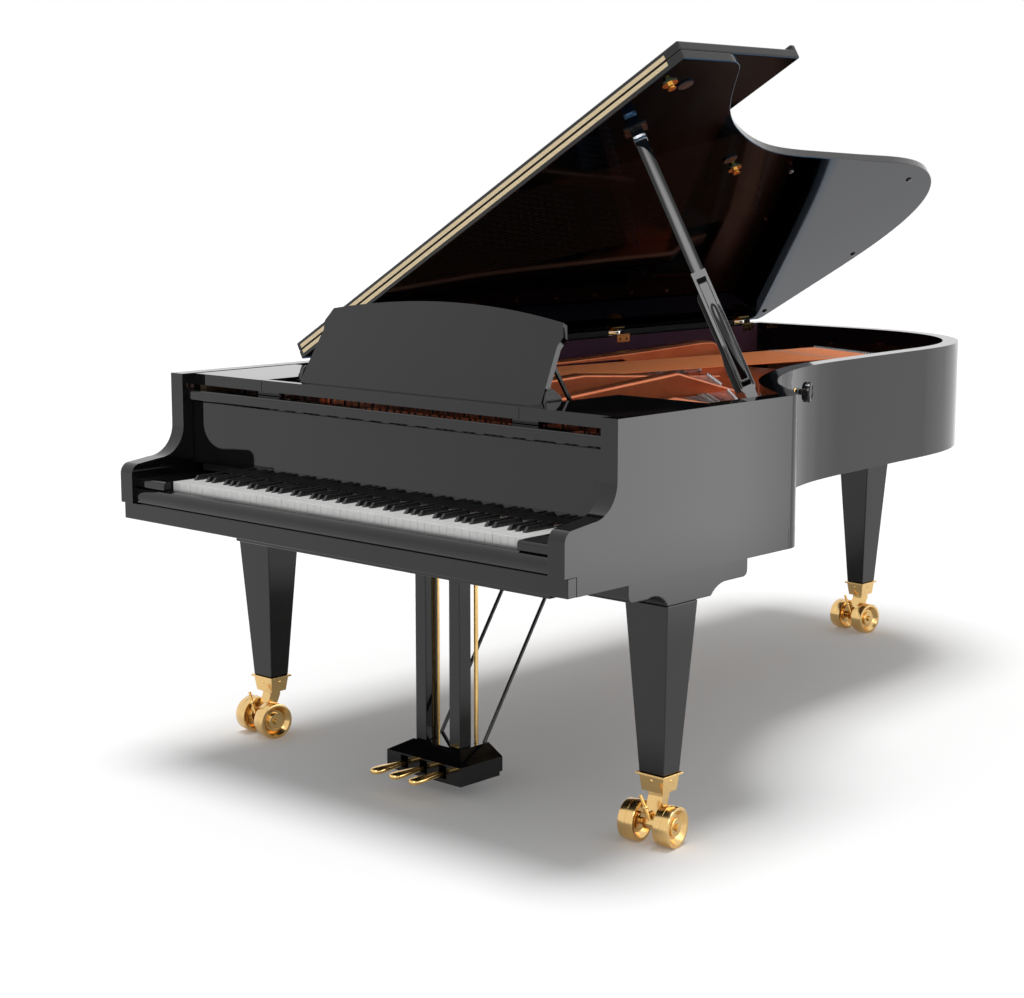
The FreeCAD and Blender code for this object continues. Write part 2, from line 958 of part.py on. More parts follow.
def keyframe():
    """Floor of the key action with its balance rail, front rail and back rail."""
    z0 = rim_bottom
    z1 = z0 + keyframe_thickness
    side = keyboard_half
    y0 = key_front + rail_depth / 3
    floor = box(-side, side, y0, key_rear + hammer_rail_size * 3, z0, z1)
    top = key_bottom - rail_gap
    balance = box(-side, side, balance_line - rail_depth / 2, balance_line + rail_depth / 2, z0, top)
    front = box(-side, side, y0, y0 + rail_depth, z0, key_bottom - 1.5 * key_dip)
    back = box(-side, side, key_rear - rail_depth, key_rear, z0, top)
    low = top - balance_relief
    y1, y2 = balance_line - rail_depth / 2, balance_line + rail_depth / 2
    above = top + key_dip
    peak = side_profile((y1, low), [(balance_line, top), (y2, low), (y2, above), (y1, above)], -side, side)
    post_y = hammer_pivot_y
    size = hammer_rail_size
    posts = []
    for x in (-side + size, side - size):
        posts.append(box(x - size / 2, x + size / 2, post_y - size / 2, post_y + size / 2, z0,
                         hammer_pivot_z - size))
    rail_top = hammer_pivot_z - shank_radius - rail_gap
    rail = box(-side, side, post_y - size / 2, post_y + size / 2, rail_top - size, rail_top)
    frame = floor.fuse([balance.cut(peak), front, back, rail] + posts)
    return one(frame)


def hammer(x):
    """Shank from the rail, with an egg-shaped felt head."""
    tip_y = hammer_pivot_y + shank_length
    shank = rod(V(x, hammer_pivot_y, hammer_pivot_z), V(x, tip_y, hammer_pivot_z), shank_radius)
    w = hammer_head_width / 2
    d = hammer_head_depth / 2
    z0 = hammer_pivot_z - 2 * shank_radius
    z1 = z0 + hammer_head_height
    moves = [((tip_y - d, z1 - d), (tip_y, z1)), ((tip_y + d, z1 - d), (tip_y + 0.5 * d, z0))]
    head = side_profile((tip_y - 0.5 * d, z0), moves, x - w, x + w)
    return one(shank.fuse(head))


def hammers():
    count = white_count + len(black_centers())
    step = 2 * keyboard_half / count
    return [hammer(-keyboard_half + (index + 0.5) * step) for index in range(count)]


def fallboard():
    """Panel that stands behind the keys, with a moulding along its top and a pin at each end."""
    side = inner_half - side_gap
    y0 = fall_center_y - fall_thickness / 2
    y1 = y0 + fall_thickness
    low = fall_pivot_z - fall_tail
    lip_low = fall_top - lip_height
    lip_y = y0 - lip_depth
    near = lip_round * (1 - math.sqrt(0.5))
    step = 0.7 * lip_cove
    moves = [
        (y1, fall_top),
        (lip_y + lip_round, fall_top),
        ((lip_y + near, fall_top - near), (lip_y, fall_top - lip_round)),
        (lip_y, lip_low + step),
        ((lip_y + 0.45 * lip_cove, lip_low + 0.2 * lip_cove), (lip_y + lip_cove, lip_low)),
        (lip_y + 1.2 * lip_cove, lip_low + step),
        (y0, lip_low + step),
        (y0, low),
    ]
    panel = side_profile((y1, low), moves, -side, side)
    tip = inner_half + fall_pin_depth - pin_end_gap
    pins = [rod(fall_pin_line(end * (side - lip_cove)), fall_pin_line(end * tip), fall_pin_radius)
            for end in (-1, 1)]
    return one(panel.fuse(pins))


# Music desk
def shelf_cleats():
    cleat = box(inner_half - cleat_size, inner_half, nameboard_front, shelf_front + shelf_depth,
                shelf_bottom - cleat_size, shelf_bottom)
    return pair(cleat)


def music_shelf():
    """Right tray: board on the cleat, a ledge for the sliding base, and a foot to the name board."""
    rear = shelf_front + shelf_depth
    inside = desk_base_half + side_gap
    board = box(inside, inner_half - side_gap / 2, shelf_front, rear, shelf_bottom, shelf_top)
    x0 = desk_base_half - shelf_ledge
    x1 = desk_base_half + shelf_ledge
    front = shelf_front + desk_lip_depth
    low = shelf_bottom - ledge_thickness
    ledge = box(x0, x1, front, rear, low, shelf_bottom - rail_gap)
    join = box(inside, x1, front, rear, low, shelf_bottom)
    foot = box(x0, x1, nameboard_front, nameboard_front + nameboard_thickness, nameboard_top, low)
    return one(board.fuse([ledge, join, foot]))


def desk_hinge_lug():
    """Lug on the floor of the base, with a pin that points into the foot of the desk."""
    pivot = desk_pivot()
    t = desk_thickness / 2
    x0 = desk_half_width + rail_gap
    lug = box(x0, x0 + desk_lug, pivot.y - t, pivot.y + t, shelf_bottom + desk_base_floor, pivot.z + t)
    pin = rod(pivot + V(x0, 0, 0), pivot + V(desk_half_width - desk_pin_length, 0, 0), desk_pin_radius)
    return one(lug.fuse(pin))


def desk_base():
    """Sliding base: front lip, floor board, tongues between the slots for the struts, and hinge lugs."""
    floor_top = shelf_bottom + desk_base_floor
    lip_rear = shelf_front + desk_lip_depth
    rear = shelf_front + desk_base_depth
    slot = desk_pivot_y + strut_pin_share * desk_height - 1.5 * strut_bar
    lip = box(-desk_base_half, desk_base_half, shelf_front, lip_rear, shelf_bottom, shelf_top)
    floor = box(-desk_base_half, desk_base_half, lip_rear, slot, shelf_bottom, floor_top)
    edges = [-desk_base_half]
    for x in (-desk_strut_x, desk_strut_x):
        edges += [x - 2 * strut_bar, x + strut_bar]
    edges.append(desk_base_half)
    tongues = []
    for x0, x1 in zip(edges[0::2], edges[1::2]):
        tongues.append(box(x0, x1, slot, rear, shelf_bottom, floor_top))
    return [lip, floor] + tongues + pair(desk_hinge_lug())


def desk_pivot():
    return V(0, desk_pivot_y, shelf_bottom + desk_base_floor + desk_thickness / 2 + desk_floor_gap)


def desk_direction():
    lean = math.radians(desk_lean)
    return V(0, math.sin(lean), math.cos(lean))


def desk_back():
    lean = math.radians(desk_lean)
    return V(0, math.cos(lean), -math.sin(lean))


def strut_pin():
    """Pivot of the struts, on the back of the desk."""
    return desk_pivot() + desk_direction() * (strut_pin_share * desk_height) + desk_back() * (
        desk_thickness / 2 + strut_bar / 2 + rail_gap)


def strut_foot():
    angle = math.radians(strut_angle)
    return strut_pin() + V(0, math.cos(angle), -math.sin(angle)) * strut_length


def music_desk():
    """Panel with a waist, ears, cut corners and an arched top, leaning back from its foot."""
    pivot = desk_pivot()
    t = desk_thickness / 2
    w = desk_half_width
    waist = w - desk_waist_inset
    ear = w - desk_ear_inset
    corner = w - desk_corner_inset
    moves = [
        (w, 0.0),
        (waist, desk_waist_height),
        (ear, desk_ear_height),
        (corner, desk_side_height),
        ((0.0, desk_height), (-corner, desk_side_height)),
        (-ear, desk_ear_height),
        (-waist, desk_waist_height),
    ]
    face = loop((-w, 0.0), moves, lambda x, z: V(x, pivot.y - t, pivot.z + z))
    panel = face.extrude(V(0, desk_thickness, 0))
    panel = one(turned(panel, pivot, V(-1, 0, 0), desk_lean))
    foot = rod(pivot - V(w, 0, 0), pivot + V(w, 0, 0), t)
    deep = desk_pin_length + rail_gap
    bore = rod(pivot + V(w - deep, 0, 0), pivot + V(w + deep, 0, 0), desk_pin_radius + running_gap)
    return one(panel.fuse([foot] + strut_ears()).cut(pair(bore)))


def strut_ears():
    """A lug with a pin on the back of the desk for each strut."""
    pieces = []
    size = strut_bar / 2
    up, back = desk_direction() * size, desk_back() * size
    for side in (-1, 1):
        start = strut_pin() + V(side * desk_strut_x - 1.5 * strut_bar, 0, 0)
        seat = back * -1 - desk_back() * rail_gap
        corners = [start + seat - up, start + back - up, start + back + up, start + seat + up]
        lug = Part.Face(closed(corners)).extrude(V(strut_bar - rail_gap, 0, 0))
        pieces += [lug, rod(start, start + V(2 * strut_bar, 0, 0), strut_pin_radius)]
    return pieces


def desk_strut():
    """Bars behind the desk, each on its pin, with a round head."""
    bars = []
    top, foot = strut_pin(), strut_foot()
    along = (foot - top).normalize()
    across = V(0, -along.z, along.y) * (strut_bar / 2)
    for side in (-1, 1):
        shift = V(side * desk_strut_x - strut_bar / 2, 0, 0)
        corners = [top - across, foot - across, foot + across, top + across]
        bar = Part.Face(closed([corner + shift for corner in corners])).extrude(V(strut_bar, 0, 0))
        wide = V(strut_bar, 0, 0)
        head = rod(top + shift, top + shift + wide, strut_bar / 2)
        hole = rod(top + shift - wide, top + shift + wide * 2, strut_pin_radius + running_gap)
        bars.append(one(bar.fuse(head).cut(hole)))
    return bars


# Lid: drawn closed, then turned up about the spine
def lid_axis_point():
    return V(-half, 0, hinge_z)


def opened(shape):
    return turned(shape, lid_axis_point(), V(0, -1, 0), lid_angle)


def lid_normal():
    angle = math.radians(lid_angle)
    return V(-math.sin(angle), 0, math.cos(angle))


def spine_side(shape):
    """The lid ends flush with the spine."""
    return shape.common(box(-half, 2 * case_width, -room, 2 * case_length, 0.0, 2 * rim_top))


def lid():
    board = plan_block(-lid_overhang, lid_bottom, lid_top)
    board = spine_side(board.common(behind(flap_line, 0.0, 2 * rim_top)))
    return opened(one(board))


def flap_axis():
    return V(0, flap_line - leaf_thickness, lid_top + flap_fold_gap)


def folded(shape):
    """Turns the flap and its hinge leaf back onto the lid."""
    return turned(shape, flap_axis(), V(-1, 0, 0), 180.0)


def lid_flap():
    rear = flap_line - 2 * leaf_thickness - flap_fold_gap
    right = half + lid_overhang
    board = box(-half, right, flap_front, rear, lid_bottom, lid_top)
    lip = box(-half, right, flap_front, flap_front + flap_lip_depth, lid_bottom - flap_lip_drop, lid_bottom)
    return opened(folded(one(board.fuse(lip))))


def hinge_strip(y0):
    """One leaf of the long hinge between the lid and its flap."""
    left, right = -half + lid_overhang, half - 2 * lid_overhang
    return box(left, right, y0, y0 + leaf_thickness, lid_top - leaf_height, lid_top)


def knuckle(radius):
    """Round bar on the axis of the long hinge."""
    axis = flap_axis()
    left, right = V(-half + lid_overhang, 0, 0), V(half - 2 * lid_overhang, 0, 0)
    return rod(axis + left, axis + right, radius)


def flap_hinge():
    """Leaf on the front edge of the lid, with the knuckle along its top."""
    leaf = hinge_strip(flap_line - leaf_thickness)
    return opened(one(leaf.fuse(knuckle(knuckle_radius))))


def flap_leaf():
    """Leaf on the rear edge of the flap, hollowed along the knuckle."""
    leaf = hinge_strip(flap_line - 2 * leaf_thickness - flap_fold_gap)
    return opened(folded(one(leaf.cut(knuckle(knuckle_radius + running_gap)))))


def lid_hinges():
    """Straps over the top of the spine and down its inner face, with a knuckle at the outer edge."""
    hinges = []
    for place in spine_hinge_places:
        y0 = place * case_length - spine_hinge_length / 2
        y1 = y0 + spine_hinge_length
        top = rim_top + hinge_leaf
        inside = -inner_half + hinge_leaf
        strap = box(-half, inside, y0, y1, rim_top, top)
        drop = box(-inner_half, inside, y0, y1, rim_top - hinge_drop, top)
        barrel = rod(V(-half, y0, hinge_z), V(-half, y1, hinge_z), hinge_pin_radius)
        hinges.append(one(strap.fuse([drop, barrel])))
    return hinges


def lid_spot(x, y):
    """Point on the underside of the open lid, from its place when closed."""
    angle = math.radians(lid_angle)
    along = V(math.cos(angle), 0, math.sin(angle))
    lift = lid_bottom - hinge_z
    return lid_axis_point() + along * (x + half) + lid_normal() * lift + V(0, y, 0)


def lid_catches():
    """Round catch plates with a stud, on the underside of the lid."""
    catches = []
    out = lid_normal() * -1
    for inward, back in catch_spots:
        spot = lid_spot(half - inward, flap_line + back)
        plate = Part.makeCylinder(catch_radius, catch_plate, spot, out)
        stud = Part.makeCylinder(stud_radius, stud_length, spot, out)
        head_start = spot + out * (stud_length - stud_head)
        head = Part.makeCone(stud_radius, stud_head_radius, stud_head, head_start, out)
        catches.append(one(plate.fuse([stud, head])))
    return catches


# Prop
def prop_base():
    return V(half - prop_from_side, corner_start - prop_from_corner, rim_top - prop_base_drop)


def prop_direction():
    return lid_normal()


def prop_axis():
    return prop_direction().cross(V(prop_fold_x, prop_fold_y, 0)).normalize()


def prop_reach():
    """Distance from the pivot to the underside of the open lid."""
    return (lid_axis_point() - prop_base()).dot(prop_direction()) + lid_bottom - hinge_z


def prop_bar(width, depth, start, end, shift, lead):
    """Bar in the frame of the prop: width along its pivot axis, depth the way in which it folds."""
    axis, along = prop_axis(), prop_direction()
    fold = axis.cross(along)
    base = prop_base() + along * start + axis * shift + fold * lead
    w, d = axis * (width / 2), fold * (depth / 2)
    corners = [base - w - d, base + w - d, base + w + d, base - w + d]
    return Part.Face(closed(corners)).extrude(along * (end - start))


def prop_disc(width, radius, start, shift, lead):
    axis, along = prop_axis(), prop_direction()
    fold = axis.cross(along)
    base = prop_base() + along * start + axis * (shift - width / 2) + fold * lead
    return Part.makeCylinder(radius, width, base, axis)


def short_prop_length():
    return short_prop_share * prop_reach()


def short_prop_lead():
    """The short prop lies on the side that faces away from the fold."""
    return short_prop_depth / 2 - prop_depth / 2


def short_pivot():
    return 2.0 * prop_depth


def long_prop():
    """Stick with a rounded foot on its pin, a groove for the short prop, and a thinner upper part."""
    length = prop_reach() - cup_thickness - prop_tip_gap
    low = short_pivot() + short_prop_length() + prop_depth
    thick = prop_bar(prop_side, prop_depth, 0.0, low, 0.0, 0.0)
    thin = prop_bar(prop_thin_side, prop_thin_depth, low, length, 0.0, 0.0)
    foot = prop_disc(prop_side, prop_depth / 2, 0.0, 0.0, 0.0)
    hole = prop_disc(2 * prop_side, prop_pin_radius + running_gap, 0.0, 0.0, 0.0)
    groove_width = short_prop_width + 2 * short_prop_gap
    start = short_pivot() - short_prop_depth
    groove = prop_bar(groove_width, short_prop_depth + 2 * short_prop_gap, start, low - short_prop_depth,
                      0.0, short_prop_lead())
    stick = thick.fuse([thin, foot]).cut([hole, groove])
    pin_width = groove_width + 2 * short_pin_grip
    pin = prop_disc(pin_width, short_pin_radius, short_pivot(), 0.0, short_prop_lead())
    return one(stick.fuse(pin))


def short_prop():
    start = short_pivot()
    lead = short_prop_lead()
    bar = prop_bar(short_prop_width, short_prop_depth, start, start + short_prop_length(), 0.0, lead)
    foot = prop_disc(short_prop_width, short_prop_depth / 2, start, 0.0, lead)
    tip = prop_disc(short_prop_width, short_prop_depth / 2, start + short_prop_length(), 0.0, lead)
    hole = prop_disc(2 * short_prop_width, short_pin_radius + running_gap, start, 0.0, lead)
    return one(bar.fuse([foot, tip]).cut(hole))


def prop_bracket():
    """Two ears with a pin, on a block that is fixed to the inside of the case."""
    shift = prop_side / 2 + ear_gap + ear_thickness / 2
    ears = []
    for side in (-1, 1):
        ear = prop_bar(ear_thickness, prop_depth, -ear_drop, 0.0, side * shift, 0.0)
        ears += [ear, prop_disc(ear_thickness, prop_depth / 2, 0.0, side * shift, 0.0)]
    pin = prop_disc(2 * shift + ear_thickness, prop_pin_radius, 0.0, 0.0, 0.0)
    base = prop_base()
    low = base.z - ear_drop + ear_root
    reach = prop_side / 2 + ear_gap + ear_thickness + bracket_border
    foot = low - bracket_foot
    block = box(base.x - reach, inner_half, base.y - reach, base.y + reach, foot, low)
    case_inside = box(-inner_half, inner_half, 0.0, case_length, foot, 2 * rim_top)
    return one(block.fuse(ears + [pin]).common(case_inside))


def prop_cups():
    """Flat seats for the tips of the props on the underside of the lid."""
    cups = [prop_bar(cup_side, cup_side, prop_reach() - cup_thickness, prop_reach(), 0.0, 0.0)]
    for inward, back in cup_spots:
        place = lid_spot(half - inward, flap_line + back)
        cups.append(Part.makeCylinder(cup_side / 3, cup_thickness, place, lid_normal() * -1))
    return cups


# Lock knob
def knob_place(distance):
    """Point on the bent side behind the treble corner, pushed out of its face by a distance."""
    curve = bent_side(0.0)
    at = curve.parameterAtDistance(knob_reach, curve.FirstParameter)
    along = curve.tangent(at)[0]
    return at_height(curve.value(at), knob_level) + V(along.y, -along.x, 0) * distance


def lock_knob():
    """Round knob on a neck that goes through the rim."""
    out = (knob_place(knob_neck_length) - knob_place(0.0)).normalize()
    neck = rod(knob_place(-rim_wall / 2), knob_place(knob_neck_length), knob_neck_radius)
    disc = Part.makeCylinder(knob_radius, knob_thickness, knob_place(knob_neck_length), out)
    disc = disc.makeFillet(knob_edge_radius, disc.Edges)
    return one(neck.fuse(disc))


# Legs and casters
def leg(x, y, width, depth, foot_width, foot_depth):
    return tapered(width, depth, leg_top, foot_width, foot_depth, leg_foot, x, y)


def front_legs():
    right = leg(leg_center_x, leg_center_y, leg_top_width, leg_top_depth, leg_foot_width, leg_foot_depth)
    return pair(right)


def rear_leg():
    return leg(rear_leg_x, rear_leg_y, leg_top_depth, leg_top_width, leg_foot_depth, leg_foot_width)


def leg_block():
    """Block between the front leg and the key bed, hollowed to the front and the rear of the leg."""
    r = block_end_radius
    near = r * (1 - math.sqrt(0.5))
    y0 = leg_center_y - block_reach_front
    y1 = leg_center_y + block_reach_rear
    leg_front = leg_center_y - leg_top_depth / 2
    leg_rear = leg_center_y + leg_top_depth / 2 + block_rear_flat
    drop = block_low - leg_top
    moves = [
        (y0, block_low + r),
        ((y0 + near, block_low + near), (y0 + r, block_low)),
        (leg_front - 2.6 * drop, block_low),
        ((leg_front - 0.7 * drop, block_low - 0.25 * drop), (leg_front, leg_top)),
        (leg_rear, leg_top),
        ((leg_rear + 0.8 * drop, block_low - 0.35 * drop), (leg_rear + 2.2 * drop, block_low)),
        (y1 - r, block_low),
        ((y1 - near, block_low + near), (y1, block_low + r)),
        (y1, side_bottom),
    ]
    x0 = leg_center_x - leg_block_half
    return side_profile((y0, side_bottom), moves, x0, x0 + leg_top_width)


def rear_leg_block():
    """Block from the rear leg up to the inner rim."""
    w, d = leg_top_depth / 2, leg_top_width / 2
    return box(rear_leg_x - w, rear_leg_x + w, rear_leg_y - d, rear_leg_y + d, leg_top, inner_rim_bottom)


def leg_blocks():
    return pair(leg_block()) + [rear_leg_block()]


def caster_cap(x, y, width, depth):
    """Brass shoe with a flared rim, and a bore for the caster's stem."""
    w, d = width / 2 + cap_rim, depth / 2 + cap_rim
    rim_low = leg_foot - cap_rim_height
    rim = box(x - w, x + w, y - d, y + d, rim_low, leg_foot)
    low = leg_foot - cap_height
    shoe = tapered(width, depth, rim_low, width - 2 * cap_taper, depth - 2 * cap_taper, low, x, y)
    bore = Part.makeCylinder(stem_radius + running_gap, stem_depth + rail_gap, V(x, y, low))
    return one(rim.fuse(shoe).cut(bore))


def caster_places():
    """Each leg's name, middle, shoe size and the turn of its caster."""
    return [
        ("left", -leg_center_x, leg_center_y, leg_foot_width, leg_foot_depth, -caster_turn),
        ("right", leg_center_x, leg_center_y, leg_foot_width, leg_foot_depth, caster_turn),
        ("rear", rear_leg_x, rear_leg_y, leg_foot_depth, leg_foot_width, -caster_turn),
    ]


def caster_caps():
    return [caster_cap(x, y, width, depth) for _, x, y, width, depth, _ in caster_places()]


def caster_fork(x, y, turn):
    """Stem, top plate, slanting leg, axle through both wheels, and a winged brake screw in front."""
    top = leg_foot - cap_height - fork_gap
    stem = Part.makeCylinder(stem_radius, stem_depth + fork_gap, V(x, y, top))
    w = fork_width / 2
    axle_y = y - caster_trail
    r = 2 * axle_radius
    moves = [
        (y + r, top),
        (y + r, top - fork_plate),
        (axle_y + r, wheel_radius),
        ((axle_y, wheel_radius - r), (axle_y - r, wheel_radius)),
        (y - r, top - fork_plate),
    ]
    body = side_profile((y - r, top), moves, x - w, x + w)
    reach = wheel_offset + wheel_width / 2 + axle_end
    axle = rod(V(x - reach, axle_y, wheel_radius), V(x + reach, axle_y, wheel_radius), axle_radius)
    screw_z = wheel_radius + 1.6 * r
    screw_y = axle_y - r + brake_wing_thickness
    screw = rod(V(x, screw_y + r, screw_z), V(x, screw_y - r, screw_z), brake_screw_radius)
    wing_y = screw_y - r - brake_wing_thickness
    wing = box(x - brake_wing, x + brake_wing, wing_y, wing_y + brake_wing_thickness,
               screw_z - brake_screw_radius, screw_z + brake_screw_radius)
    fork = one(stem.fuse([body, axle, screw, wing]))
    return turned(fork, V(x, y, 0), V(0, 0, 1), turn)


def wheel(center):
    """Turned wheel: rim, dished face, hub and bore, drawn about X."""
    w = wheel_width / 2
    inner = wheel_radius - wheel_rim
    web = w - wheel_recess
    bore = axle_radius + running_gap
    rim_start = wheel_radius - wheel_bevel
    half_outline = [
        (w, bore),
        (w, hub_radius),
        (web, hub_radius + hub_slope),
        (web, inner - wheel_rim_slope),
        (w, inner),
        (w, rim_start),
        (w - wheel_bevel, wheel_radius),
    ]
    outline = half_outline + [(-a, b) for a, b in reversed(half_outline)]
    face = Part.Face(closed([V(center.x + a, center.y, center.z + b) for a, b in outline]))
    return face.revolve(center, V(1, 0, 0), 360)


def caster_wheels(x, y, turn):
    wheels = []
    for side in (-1, 1):
        shape = wheel(V(x + side * wheel_offset, y - caster_trail, wheel_radius))
        wheels.append(turned(shape, V(x, y, 0), V(0, 0, 1), turn))
    return wheels


# Lyre
def lyre_rear():
    return lyre_front + lyre_box_depth


def pedal_x(index):
    return lyre_x + (index - 1) * pedal_spacing


def pedal_pivot():
    return V(0, lyre_front + pedal_pivot_depth, pedal_level)


def rod_line():
    return lyre_front + rod_depth


def lyre_roof():
    """Top of the pedal box, sloping up from its front and both ends."""
    wires = []
    for inset, z in ((0.0, lyre_box_side), (lyre_slope, lyre_box_top)):
        w = lyre_box_width / 2 - inset
        y0 = lyre_front + inset
        corners = [V(lyre_x - w, y0, z), V(lyre_x + w, y0, z)]
        corners += [V(lyre_x + w, lyre_rear(), z), V(lyre_x - w, lyre_rear(), z)]
        wires.append(closed(corners))
    return Part.makeLoft(wires, True, True)


def lyre_box():
    """Box on a plinth, with a sloping top, a channel for each pedal, a pivot pin and holes for the rods."""
    w = lyre_box_width / 2
    base = lyre_box_bottom + lyre_plinth_height
    walls = box(lyre_x - w, lyre_x + w, lyre_front, lyre_rear(), base, lyre_box_side)
    inset = lyre_plinth_inset
    plinth = box(lyre_x - w + inset, lyre_x + w - inset, lyre_front + inset, lyre_rear() - inset,
                 lyre_box_bottom, base)
    shell = walls.fuse([plinth, lyre_roof()])
    pivot = pedal_pivot()
    for index in range(3):
        x = pedal_x(index)
        c = pedal_channel / 2
        channel = box(x - c, x + c, lyre_front - room, rod_line() + 3 * rod_radius, pedal_channel_bottom,
                      lyre_box_side - pedal_channel_roof)
        low = V(x, rod_line(), pedal_channel_bottom)
        hole = Part.makeCylinder(rod_radius + rod_hole_gap, lyre_box_top, low)
        shell = shell.cut([channel, hole])
    pin = rod(V(lyre_x - w, pivot.y, pivot.z), V(lyre_x + w, pivot.y, pivot.z), pedal_pin_radius)
    return one(shell.fuse(pin))


def pedal(index):
    """Lever with a narrow neck and a rounded paddle, on the pin in the box."""
    x = pedal_x(index)
    n, p = pedal_neck / 2, pedal_paddle / 2
    front = lyre_front - pedal_reach
    shoulder = lyre_front - 0.45 * pedal_reach
    rear = rod_line() + 2 * rod_radius
    z0 = pedal_level - pedal_thickness / 2
    moves = [
        (x + n, shoulder + p),
        ((x + 0.8 * p, shoulder - 0.3 * p), (x + p, front + p)),
        ((x, front), (x - p, front + p)),
        ((x - 0.8 * p, shoulder - 0.3 * p), (x - n, shoulder + p)),
        (x - n, rear),
    ]
    lever = plan_profile((x + n, rear), moves, z0, z0 + pedal_thickness)
    pivot = pedal_pivot()
    hole = rod(V(x - pedal_paddle, pivot.y, pivot.z), V(x + pedal_paddle, pivot.y, pivot.z),
               pedal_pin_radius + running_gap)
    return one(lever.cut(hole))


def pedal_rod(index):
    low = V(pedal_x(index), rod_line(), pedal_level + pedal_thickness / 2 + rod_gap)
    return rod(low, at_height(low, slab_bottom - rod_top_room), rod_radius)


def lyre_posts():
    posts = []
    y0 = lyre_front + post_setback
    for side in (-1, 1):
        x = lyre_x + side * post_spacing / 2
        posts.append(box(x - post_width / 2, x + post_width / 2, y0, y0 + post_depth, lyre_box_top,
                         slab_bottom - head_height))
    return posts


def lyre_head():
    w = head_width / 2
    y0 = lyre_front + post_setback
    return box(lyre_x - w, lyre_x + w, y0 - head_front, y0 + post_depth + head_rear,
               slab_bottom - head_height, slab_bottom)


def lyre_braces():
    """Two slanting rods from the back of the pedal box to the underside of the key bed."""
    braces = []
    y0 = lyre_rear() - 3 * brace_rod_radius
    space = box(-half, half, 0.0, case_length, lyre_box_top, slab_bottom)
    for side in (-1, 1):
        x = lyre_x + side * brace_spread
        low = V(x, y0, lyre_box_top - 2 * brace_rod_radius)
        high = V(x, y0 + brace_run, slab_bottom + 2 * brace_rod_radius)
        braces.append(one(rod(low, high, brace_rod_radius).common(space)))
    return braces


def main():
    os.makedirs("parts", exist_ok=True)
    save("case_rim", case_rim())
    save("inner_rim", inner_rim())
    save("back_braces", *back_braces())
    save("front_board", front_board())
    save("keybed", keybed())
    save("key_slip", key_slip())
    save("key_blocks", *key_blocks())
    save("nameboard", nameboard())
    save("soundboard", soundboard())
    save("soundboard_ribs", *soundboard_ribs())
    save("bridges", *bridges())
    save("iron_plate", iron_plate())
    save("plate_bolts", *plate_bolts())
    save("pinblock", pinblock())
    save("tuning_pins", *tuning_pins())
    save("bass_strings", *bass_strings())
    save("treble_strings", *treble_strings())
    save("dampers", *dampers())
    save("keyframe", keyframe())
    save("white_keys", *white_keys())
    save("black_keys", *black_keys())
    save("hammers", *hammers())
    save("fallboard", fallboard())
    save("shelf_cleats", *shelf_cleats())
    save("music_shelf_right", music_shelf())
    save("music_shelf_left", mirrored(music_shelf()))
    save("desk_base", *desk_base())
    save("music_desk", music_desk())
    save("desk_strut", *desk_strut())
    save("lid", lid())
    save("lid_flap", lid_flap())
    save("flap_hinge", flap_hinge())
    save("flap_leaf", flap_leaf())
    save("lid_hinges", *lid_hinges())
    save("lid_catches", *lid_catches())
    save("prop_cups", *prop_cups())
    save("prop_bracket", prop_bracket())
    save("long_prop", long_prop())
    save("short_prop", short_prop())
    save("lock_knob", lock_knob())
    save("front_legs", *front_legs())
    save("rear_leg", rear_leg())
    save("leg_blocks", *leg_blocks())
    save("caster_caps", *caster_caps())
    for name, x, y, _, _, turn in caster_places():
        save("caster_fork_" + name, caster_fork(x, y, turn))
        save("caster_wheels_" + name, *caster_wheels(x, y, turn))
    save("lyre_head", lyre_head())
    save("lyre_posts", *lyre_posts())
    save("lyre_box", lyre_box())
    save("lyre_braces", *lyre_braces())
    for index, name in enumerate(("soft", "sostenuto", "damper")):
        save(name + "_pedal", pedal(index))
        save(name + "_rod", pedal_rod(index))


main()
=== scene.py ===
import bmesh
import bpy
import json
import math
from mathutils import Euler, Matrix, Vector
from mathutils.bvhtree import BVHTree


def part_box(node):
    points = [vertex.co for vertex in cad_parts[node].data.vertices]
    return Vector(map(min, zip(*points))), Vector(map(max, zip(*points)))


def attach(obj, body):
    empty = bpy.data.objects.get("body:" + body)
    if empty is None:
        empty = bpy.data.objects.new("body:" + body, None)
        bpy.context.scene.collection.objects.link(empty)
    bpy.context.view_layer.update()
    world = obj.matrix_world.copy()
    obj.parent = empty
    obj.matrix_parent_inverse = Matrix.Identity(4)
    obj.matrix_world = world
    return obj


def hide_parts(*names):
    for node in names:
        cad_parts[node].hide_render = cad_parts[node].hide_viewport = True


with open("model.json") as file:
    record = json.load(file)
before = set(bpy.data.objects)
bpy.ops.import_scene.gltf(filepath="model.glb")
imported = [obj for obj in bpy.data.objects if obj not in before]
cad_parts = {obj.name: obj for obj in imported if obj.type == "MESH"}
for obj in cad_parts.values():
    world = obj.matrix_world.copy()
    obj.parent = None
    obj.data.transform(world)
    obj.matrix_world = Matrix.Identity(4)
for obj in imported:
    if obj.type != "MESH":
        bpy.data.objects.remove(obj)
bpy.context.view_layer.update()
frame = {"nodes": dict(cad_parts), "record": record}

# Places are in metres: X to the treble side from the middle of the keyboard,
# Y back from the fronts of the arms, Z up from the floor
rim_low, rim_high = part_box("case_rim")
middle_x = (rim_low.x + rim_high.x) / 2
front_y = rim_low.y

# Camera
camera_place = (3.541, -3.165, 1.536)
camera_turn = (80.96, 0.0, 42.71)
camera_lens = 71.5
sensor_width = 36.0

# Light: brightness of a white surface under the sky and under the overhead lamp
sky_light = 0.46
overhead_light = 0.66
overhead_spread = 26.0
overhead_aim = (0.03, 0.02, -1.0)
floor_glow = 0.08
floor_white = 0.90
floor_radius = 60.0
floor_sides = 64
softbox_fade = 0.35
